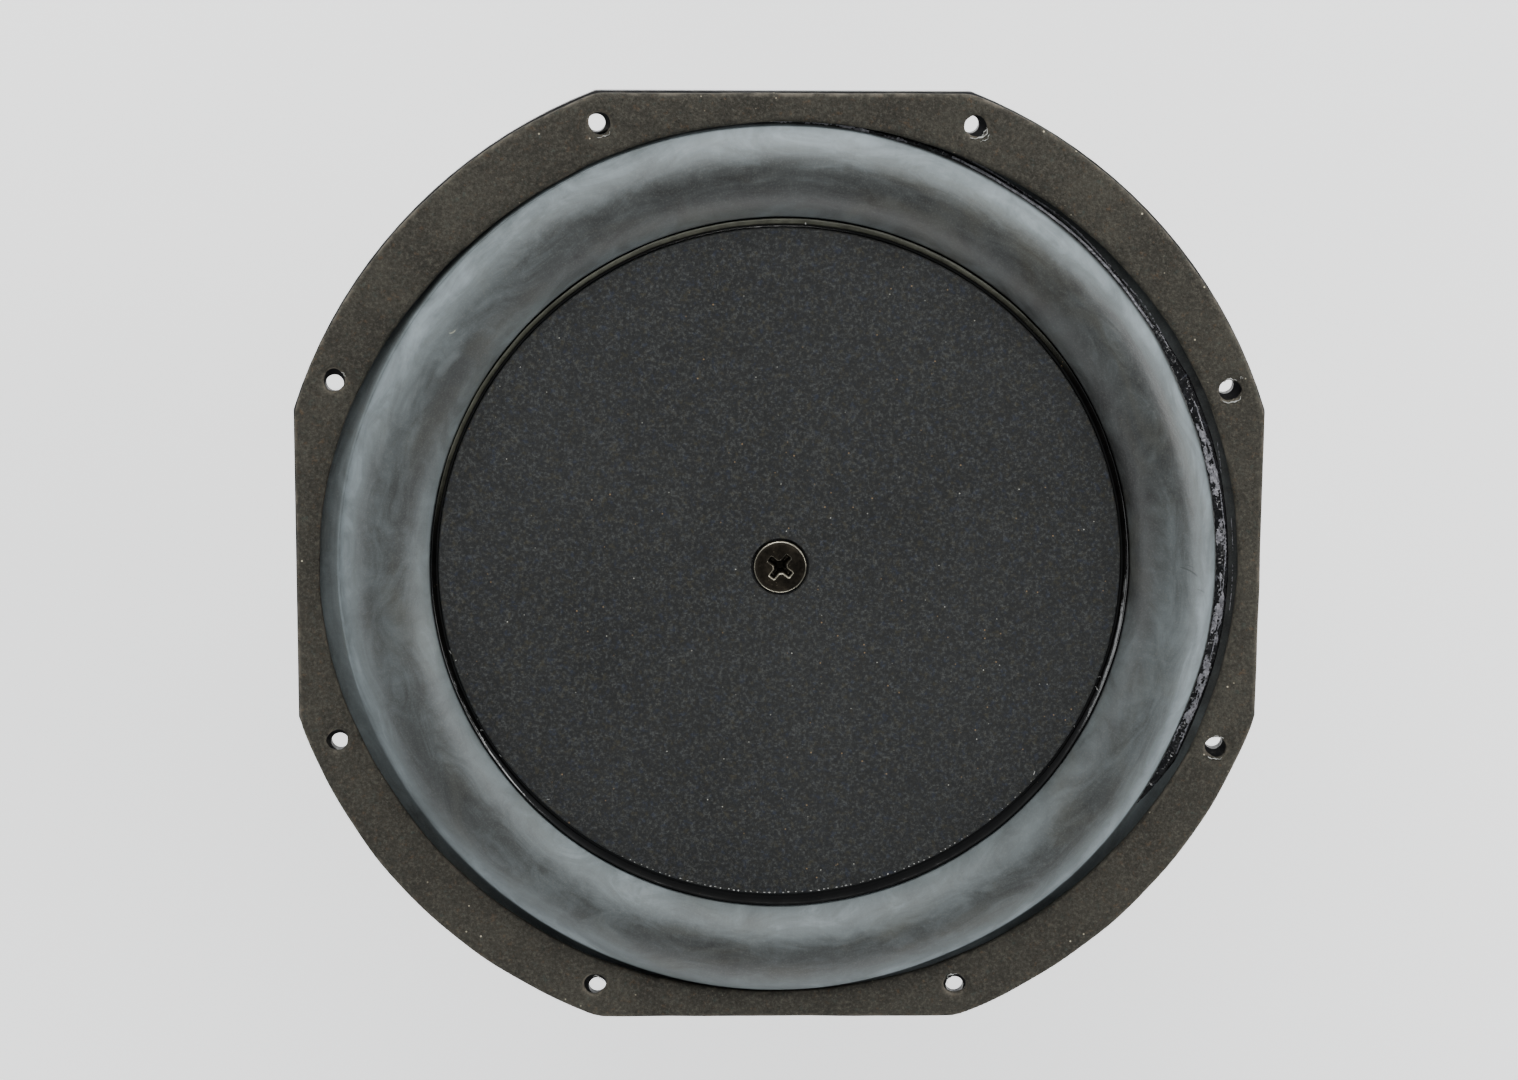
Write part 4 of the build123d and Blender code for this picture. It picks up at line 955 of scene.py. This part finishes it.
def ribbon(name, r0, r1, height, n_r, mask=None, lift=0.0, thick=0.0):
    """A strip over the land; faces whose mask is below 0 are left out, so its edges are ragged."""
    verts, keep, faces = [], [], []
    for i, t in enumerate(TT):
        ct, st = math.cos(t), math.sin(t)
        for j in range(n_r):
            u = j / (n_r - 1)
            r = r0[i] + (r1[i] - r0[i]) * u
            z = height(i, t, u, r)
            verts.append((r * ct * MM, r * st * MM, (z + lift) * MM))
            keep.append(1.0 if mask is None else mask(i, t, u, r))
    for i in range(n_t - 1):
        a, b = i * n_r, (i + 1) * n_r
        for j in range(n_r - 1):
            if min(keep[a + j], keep[a + j + 1], keep[b + j], keep[b + j + 1]) > 0:
                faces.append((a + j, a + j + 1, b + j + 1, b + j))
    used = sorted({v for f in faces for v in f})
    order = {v: k for k, v in enumerate(used)}
    ob = obj_from(name, [verts[v] for v in used], [tuple(order[v] for v in f) for f in faces])
    if thick:
        so = ob.modifiers.new("thick", "SOLIDIFY")
        so.thickness = thick * MM
        so.offset = -1.0
        bpy.context.view_layer.update()
        solid = bpy.data.meshes.new_from_object(ob.evaluated_get(bpy.context.evaluated_depsgraph_get()))
        ob.modifiers.clear()
        ob.data = solid
    return ob


LAND = land_z / MM
right = band(deg, -36, 34, 9)
line_part = band(deg, 26, 84, 5)
topp = band(deg, 74, 113, 6)
bed_w = 0.45 + 3.3 * right + 1.3 * line_part * (1 - right) + 0.9 * topp * (1 - line_part)


def bed_height(i, t, u, r):
    crown = math.sin(math.pi * min(max(u, 0.0), 1.0)) ** 0.5
    lumps = 0.5 * grain3((r * math.cos(t), r * math.sin(t), 0), 0.55) + 0.4 * grain3((r * math.cos(t), r * math.sin(t), 3.0), 1.5)
    h = (0.20 + 0.42 * right[i] + 0.30 * line_part[i]) * crown * (0.7 + 0.9 * lumps)
    fade = band(deg[i], A0, A1, 8)
    return LAND + 0.01 + max(0.0, h) * fade


bed = ribbon("outer_cement_bed", FT - 0.30, np.minimum(FT - 0.25 + bed_w, GI - 0.1), bed_height, 22)
assign(bed, bed_mat)
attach(bed, "frame")


def skin_mask(i, t, u, r):
    d = r - FT[i]
    s1_ = t * 112.0
    long_ = grain3((s1_ * 0.14, d * 0.7, 1.3), 1.0)
    mid = grain3((s1_ * 0.38, d * 1.1, 7.7), 1.0)
    small = grain3((s1_ * 1.6, d * 2.6, 2.1), 1.0)
    n = 0.55 * long_ + 0.62 * mid + 0.34 * small
    torn_part = band(deg[i], -30, 27, 7)
    m = -1.0
    if 0.25 < d < 3.0:
        m = n - 0.10 + 0.06 * torn_part - 1.2 * (1 - torn_part)
        m -= 0.5 * (1 - band(d, 0.25, 3.0, 0.35))
    # outer bright lip of the torn band
    lipd = 2.45 + 0.28 * math.sin(3.1 * t * 4 + 0.5) + 0.12 * math.sin(t * 37)
    if band(deg[i], -26, 22, 4) > 0 and abs(d - lipd) < 0.20 + 0.14 * small:
        m = max(m, 0.5 + 0.7 * mid)
    # one long intact strand above the right-hand hole
    st_ = 0.75 + 0.10 * math.sin(t * 17)
    if 33 < deg[i] < 68 and abs(d - st_) < 0.30 + 0.14 * mid:
        m = max(m, 0.6 + 0.6 * long_ + 0.4 * small)
    # painted highlight: a pale strip from 30 to 78 degrees, standing in for a highlight line on the land
    if 30 < deg[i] < 78 and abs(d - 1.8 - 0.25 * math.sin(t * 23)) < 0.17 + 0.16 * small:
        m = max(m, 0.12 + 0.8 * long_ + 0.8 * small)
    # patches towards the top
    if 74 < deg[i] < 110 and -0.05 < d < 0.95:
        m = max(m, n - 0.02 - 0.3 * (1 - band(d, 0.0, 0.95, 0.3)))
    # painted glints: pale skin shreds on the land near the ring, standing in for glint lines
    if -6 < deg[i] < 6 and abs(d - 4.6) < 0.16:
        m = max(m, 0.25 + long_ + 0.6 * small)
    if 12 < deg[i] < 16 and abs(d - 4.1 - 0.2 * (deg[i] - 14)) < 0.12:
        m = max(m, 0.3 + 0.6 * small)
    return m if r < GI[i] - 0.15 else -1.0


def skin_height(i, t, u, r):
    p = (r * math.cos(t), r * math.sin(t), 0)
    d = r - FT[i]
    return bed_height(i, t, min(max((d + 0.3) / max(bed_w[i], 0.5), 0), 1), r) + 0.10 + 0.16 * abs(grain3(p, 0.9)) + 0.10 * grain3((p[0], p[1], 9), 2.4)


skin = ribbon("torn_cement_skin_and_glints", FT - 0.05, np.minimum(FT + 5.2, GI - 0.05), skin_height, 56, mask=skin_mask, thick=0.10)
assign(skin, film_mat)
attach(skin, "frame")

# ------------------------------------------------------------------ centre screw
s_lo, s_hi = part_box("centre_screw")
S_TOP = s_hi.z / MM
HEAD = 6.72


def smin(a, b, k):
    h = np.clip(0.5 + 0.5 * (b - a) / k, 0, 1)
    return b * (1 - h) + a * h - k * h * (1 - h)


def cross_distance(x, y):
    """Signed distance to the outline of the cross recess, negative inside, in millimetres."""
    best = np.hypot(x, y) - 1.72
    for a in (52.0, 142.0):
        c_, s_ = math.cos(math.radians(a)), math.sin(math.radians(a))
        u, v = np.abs(x * c_ + y * s_), np.abs(-x * s_ + y * c_)
        dx, dy = u - (3.6 - 0.42), v - (0.92 - 0.42)
        bar = np.hypot(np.maximum(dx, 0), np.maximum(dy, 0)) + np.minimum(np.maximum(dx, dy), 0) - 0.42
        best = smin(best, bar, 0.35)
    return best


def head_height(r, t):
    x, y = r * np.cos(t), r * np.sin(t)
    z = S_TOP - 0.10 * (1 - ease(r, 5.7, 6.25))
    z = z - 0.45 * np.clip((r - 6.42) / (HEAD - 6.42), 0, 1) ** 2
    d = cross_distance(x, y)
    wall = np.where(d < -0.16, (-d) * 4.0 - 0.20, np.where(d < 0.20, 0.44 * ((0.20 - d) / 0.36) ** 2, 0))
    floor_ = 2.3 + 0.9 * (1 - ease(r, 0.3, 2.6)) - 0.5 * ease(r, 2.4, 3.4)
    return z - np.minimum(wall, floor_)


n_th = 720
rs = np.concatenate([np.arange(0.05, 4.4, 0.06), np.arange(4.4, 5.6, 0.15), np.arange(5.6, HEAD, 0.07), [HEAD]])
prof_in = [(r, 0.0) for r in rs[::-1]]
shank = [(3.0, 1.75), (3.0, -2.0)]
zt = -2.0
while zt > -20.0:
    shank += [(3.0, zt), (3.0, zt - 0.12), (2.62, zt - 0.5), (2.62, zt - 0.62)]
    zt -= 1.0
outer_prof = [(HEAD, 6.05), (HEAD, 5.65), (HEAD - 0.1, 5.42)] + shank + [(3.0, -20.3), (2.4, -21.0), (0.05, -21.0)]
full = [(r * MM, 0.0) for r in rs] + [(r * MM, z * MM) for r, z in outer_prof]
n_top = len(rs)


def screw_move(T, I, r, z):
    top_ = I < n_top
    return r, np.where(top_, head_height(r / MM, T) * MM, z)


screw = lathe("centre_screw_black", full, n_th, move=screw_move, closed=True)
sco = np.array([v.co for v in screw.data.vertices], float) / MM
s_r = np.hypot(sco[:, 0], sco[:, 1])
s_d = cross_distance(sco[:, 0], sco[:, 1])
on_top = sco[:, 2] > S_TOP - 3.5
# wear and painted highlight: a pale rim line, brightest at the top and bottom, and pale recess edges, brightest on the
# lower side
rim_w = np.exp(-((s_r - 6.47) / 0.13) ** 2) * (0.25 + 0.7 * np.abs(np.sin(np.arctan2(sco[:, 1], sco[:, 0]))) ** 1.5)
lip_w = np.exp(-((s_d + 0.02) / 0.13) ** 2) * (0.12 + 0.88 * ease(-sco[:, 1], -0.6, 1.8))
at = screw.data.attributes.new("wear_and_painted_highlight", "FLOAT", "POINT")
at.data.foreach_set("value", (np.clip(rim_w + lip_w, 0, 1) * on_top).astype(np.float32))
assign(screw, screw_mat)
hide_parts("centre_screw")
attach(screw, "piston")

# ------------------------------------------------------------------ spider (woven, corrugated)
slo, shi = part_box("spider")
s_mid = -45.0 * MM + 0.35 * MM
half_t = 0.28 * MM
line = []
for i in range(0, 401):
    r = 26.2 + (70.4 - 26.2) * i / 400
    if 29.0 <= r <= 58.4:
        z = 1.1 * math.sin(2 * math.pi * (r - 29.0) / ((58.4 - 29.0) / 4))
    else:
        z = 0.0
    line.append((r * MM, s_mid + z * MM))
line = smooth_profile(line, True, 10)
sp_prof = [(r, z + half_t) for r, z in line] + [(r, z - half_t) for r, z in line[::-1]]
sp_prof += [(26.2 * MM, s_mid - 2.6 * MM), (25.5 * MM, s_mid - 2.6 * MM), (25.5 * MM, s_mid + half_t)]
spider = lathe("spider_cloth", sp_prof, 300)
assign(spider, cloth)
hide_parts("spider")
radial_blend(spider)


# ------------------------------------------------------------------ tinsel leads (braided, between lug and former)
def nurbs_path(points):
    cu = bpy.data.curves.new("path", "CURVE")
    cu.dimensions = "3D"
    sp = cu.splines.new("NURBS")
    sp.points.add(len(points) - 1)
    for p, q in zip(sp.points, points):
        p.co = (*q, 1.0)
    sp.order_u = 3
    sp.use_endpoint_u = True
    sp.resolution_u = 40
    ob = bpy.data.objects.new("path", cu)
    bpy.context.scene.collection.objects.link(ob)
    bpy.context.view_layer.update()
    me = bpy.data.meshes.new_from_object(ob.evaluated_get(bpy.context.evaluated_depsgraph_get()))
    pts = np.array([v.co for v in me.vertices], float)
    bpy.data.objects.remove(ob)
    return pts


def resample(pts, n):
    d = np.r_[0, np.cumsum(np.linalg.norm(np.diff(pts, axis=0), axis=1))]
    s = np.linspace(0, d[-1], n)
    return np.stack([np.interp(s, d, pts[:, k]) for k in range(3)], -1), d[-1]


def braid(name, pts, radius, strands=8, turns_per_m=160, n=260, sides=6):
    """Two sets of strands wound opposite ways, weaving over and under, round the path."""
    path, length = resample(pts, n)
    tan = np.gradient(path, axis=0)
    tan /= np.linalg.norm(tan, axis=1)[:, None]
    up = np.cross(tan[0], (1, 0, 0))
    up /= np.linalg.norm(up)
    frames = []
    for t in tan:
        up = up - t * (up @ t)
        up /= np.linalg.norm(up)
        frames.append((up.copy(), np.cross(t, up)))
    s = np.linspace(0, length, n)
    verts, faces = [], []
    core = radius * 0.62
    strand_r = radius * 0.27

    def tube(line, rad):
        base = len(verts)
        tg = np.gradient(line, axis=0)
        tg /= np.linalg.norm(tg, axis=1)[:, None]
        u = np.cross(tg[0], (0.3, 0.8, 0.5))
        u /= np.linalg.norm(u)
        for i, t in enumerate(tg):
            u = u - t * (u @ t)
            u /= np.linalg.norm(u)
            v = np.cross(t, u)
            for k in range(sides):
                a = 2 * math.pi * k / sides
                verts.append(line[i] + rad * (math.cos(a) * u + math.sin(a) * v))
        for i in range(len(line) - 1):
            for k in range(sides):
                k2 = (k + 1) % sides
                faces.append((base + i * sides + k, base + i * sides + k2, base + (i + 1) * sides + k2, base + (i + 1) * sides + k))
        faces.append(tuple(base + k for k in range(sides))[::-1])
        faces.append(tuple(base + (len(line) - 1) * sides + k for k in range(sides)))

    tube(path, core)
    for way in (1, -1):
        for k in range(strands // 2):
            ph = 2 * math.pi * k / (strands // 2)
            ang = ph + way * 2 * math.pi * turns_per_m * s
            weave = 0.5 + 0.5 * way * np.cos(strands / 2 * ang)
            rr = radius - strand_r - 0.10 * radius + 0.10 * radius * weave
            line = np.array([path[i] + rr[i] * (math.cos(ang[i]) * frames[i][0] + math.sin(ang[i]) * frames[i][1]) for i in range(n)])
            tube(line, strand_r)
    return obj_from(name, verts, faces), length


for tag, side in (("pos", 1), ("neg", -1)):
    x0 = side * (15.0 - 0.4 - 0.8 - 0.02)
    route = [(x0, -82.5, -40.0), (x0, -82.5, -28.8), (side * 11.5, -56.0, -34.5), (side * 8.7, -26.2, -29.5)]
    pts = nurbs_path([tuple(v * MM for v in p) for p in route])
    lead, length = braid(f"tinsel_lead_{tag}_braid", pts, 0.8 * MM)
    assign(lead, braid_mat)
    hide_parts(f"tinsel_lead_{tag}")
    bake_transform(lead)

# ------------------------------------------------------------------ terminal springs
for tag, side in (("pos", 1), ("neg", -1)):
    lo_, hi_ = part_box(f"terminal_spring_{tag}")
    cx, cy = (lo_.x + hi_.x) / 2, (lo_.y + hi_.y) / 2
    z_lo, z_hi = lo_.z + 0.3 * MM, hi_.z - 0.3 * MM
    n = 240
    u = np.linspace(0, 1, n)
    turns = 6.0
    flat = 0.12
    zz = np.where(u < flat, 0, np.where(u > 1 - flat, 1, (u - flat) / (1 - 2 * flat)))
    line = np.stack([cx + 3.4 * MM * np.cos(2 * math.pi * turns * u), cy + 3.4 * MM * np.sin(2 * math.pi * turns * u), z_lo + (z_hi - z_lo) * zz], -1)
    tg = np.gradient(line, axis=0)
    tg /= np.linalg.norm(tg, axis=1)[:, None]
    verts, faces, sides = [], [], 10
    for i in range(n):
        uu = np.array([line[i][0] - cx, line[i][1] - cy, 0])
        uu /= np.linalg.norm(uu)
        vv = np.cross(tg[i], uu)
        for k in range(sides):
            a = 2 * math.pi * k / sides
            verts.append(line[i] + 0.3 * MM * (math.cos(a) * uu + math.sin(a) * vv))
    for i in range(n - 1):
        for k in range(sides):
            k2 = (k + 1) % sides
            faces.append((i * sides + k, i * sides + k2, (i + 1) * sides + k2, (i + 1) * sides + k))
    faces.append(tuple(range(sides))[::-1])
    faces.append(tuple((n - 1) * sides + k for k in range(sides)))
    ob = obj_from(f"terminal_spring_{tag}_coil", verts, faces)
    assign(ob, spring_mat)
    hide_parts(f"terminal_spring_{tag}")
    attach(ob, "frame")
    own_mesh(ob)

# ------------------------------------------------------------------ carried-over CAD nodes
for node, mat in {
    "basket": cast, "top_plate": steel, "magnet": ferrite, "pole_yoke": steel, "shorting_sleeve": copper,
    "magnet_boot": boot, "vent_screen": screen_mat, "motor_screws": zinc, "terminal_housing": plastic,
    "terminal_base": plastic, "terminal_contacts": tinned, "terminal_screws": zinc, "piston_disc": disc_mat,
    "support_cone": paper, "coupler": coupler_mat, "coil_former": former_mat, "voice_coil": coil_mat,
    "centre_washer": zinc, "lock_nut": zinc, "lead_pads": solder_mat,
    "push_button_pos": red, "push_button_neg": black,
}.items():
    assign(NODES[node], mat)

# ------------------------------------------------------------------ stage: floor and light
floor_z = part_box("magnet_boot")[0].z
fm = Mat("floor_paper_glowing", Specular_IOR_Level=0.2)
fc = fm.mix(fm.span(fm.noise(3.0, 4.0), 0.3, 0.7), (0.80, 0.81, 0.82), (0.86, 0.86, 0.86))
fm.color(fc)
# the floor glows: its emission makes it a light source and brightens it past its colour
fm.b.inputs["Emission Color"].default_value = (1, 1, 1, 1)
fm.b.inputs["Emission Strength"].default_value = 0.74
fm.rough(fm.span(fm.noise(40.0, 3.0), 0.3, 0.7, 0.8, 0.92))
fm.normal(fm.bump(fm.noise(500.0, 3.0), 0.08, 0.0004))
floor = obj_from("floor", [(-4, -4, floor_z), (4, -4, floor_z), (4, 4, floor_z), (-4, 4, floor_z)], [(0, 1, 2, 3)], smooth=False)
assign(floor, fm)

world = bpy.data.worlds.new("studio")
bpy.context.scene.world = world
world.use_nodes = True
wt = world.node_tree
wt.nodes.clear()
wo = wt.nodes.new("ShaderNodeOutputWorld")
bg = wt.nodes.new("ShaderNodeBackground")
wc = wt.nodes.new("ShaderNodeTexCoord")
ws = wt.nodes.new("ShaderNodeSeparateXYZ")
wr = wt.nodes.new("ShaderNodeValToRGB")
wt.links.new(wc.outputs["Generated"], ws.inputs[0])
wt.links.new(ws.outputs["Z"], wr.inputs[0])
e = wr.color_ramp.elements
e[0].position, e[0].color = 0.0, (0.85, 0.87, 0.88, 1.0)
e[1].position, e[1].color = 1.0, (0.10, 0.105, 0.11, 1.0)
k = e.new(0.35)
k.color = (0.62, 0.65, 0.67, 1.0)
k = e.new(0.75)
k.color = (0.20, 0.21, 0.22, 1.0)
wt.links.new(wr.outputs[0], bg.inputs["Color"])
bg.inputs["Strength"].default_value = 1.0
wt.links.new(bg.outputs[0], wo.inputs[0])


def area(name, loc, target, size, power, col=(1, 1, 1)):
    data = bpy.data.lights.new(name, "AREA")
    data.shape = "RECTANGLE"
    data.size, data.size_y = size
    data.energy = power
    data.color = col
    ob = bpy.data.objects.new(name, data)
    bpy.context.scene.collection.objects.link(ob)
    ob.location = loc
    ob.rotation_mode = "QUATERNION"
    ob.rotation_quaternion = (Vector(target) - Vector(loc)).to_track_quat("-Z", "Y")
    return ob


area("top_window", (-0.12, 1.10, 0.62), (0, 0, 0), (1.3, 0.6), 25.0, (1.0, 0.995, 0.98))
area("right_soft", (1.15, 0.20, 0.45), (0, 0, 0), (0.8, 0.6), 16.0, (1.0, 1.0, 1.0))
area("left_soft", (-1.15, -0.15, 0.60), (0, 0, 0), (0.8, 0.6), 6.5, (0.97, 0.99, 1.0))
area("low_bounce", (0.0, -1.10, 0.42), (0, 0, 0), (1.3, 0.4), 9.0, (1.0, 1.0, 0.99))
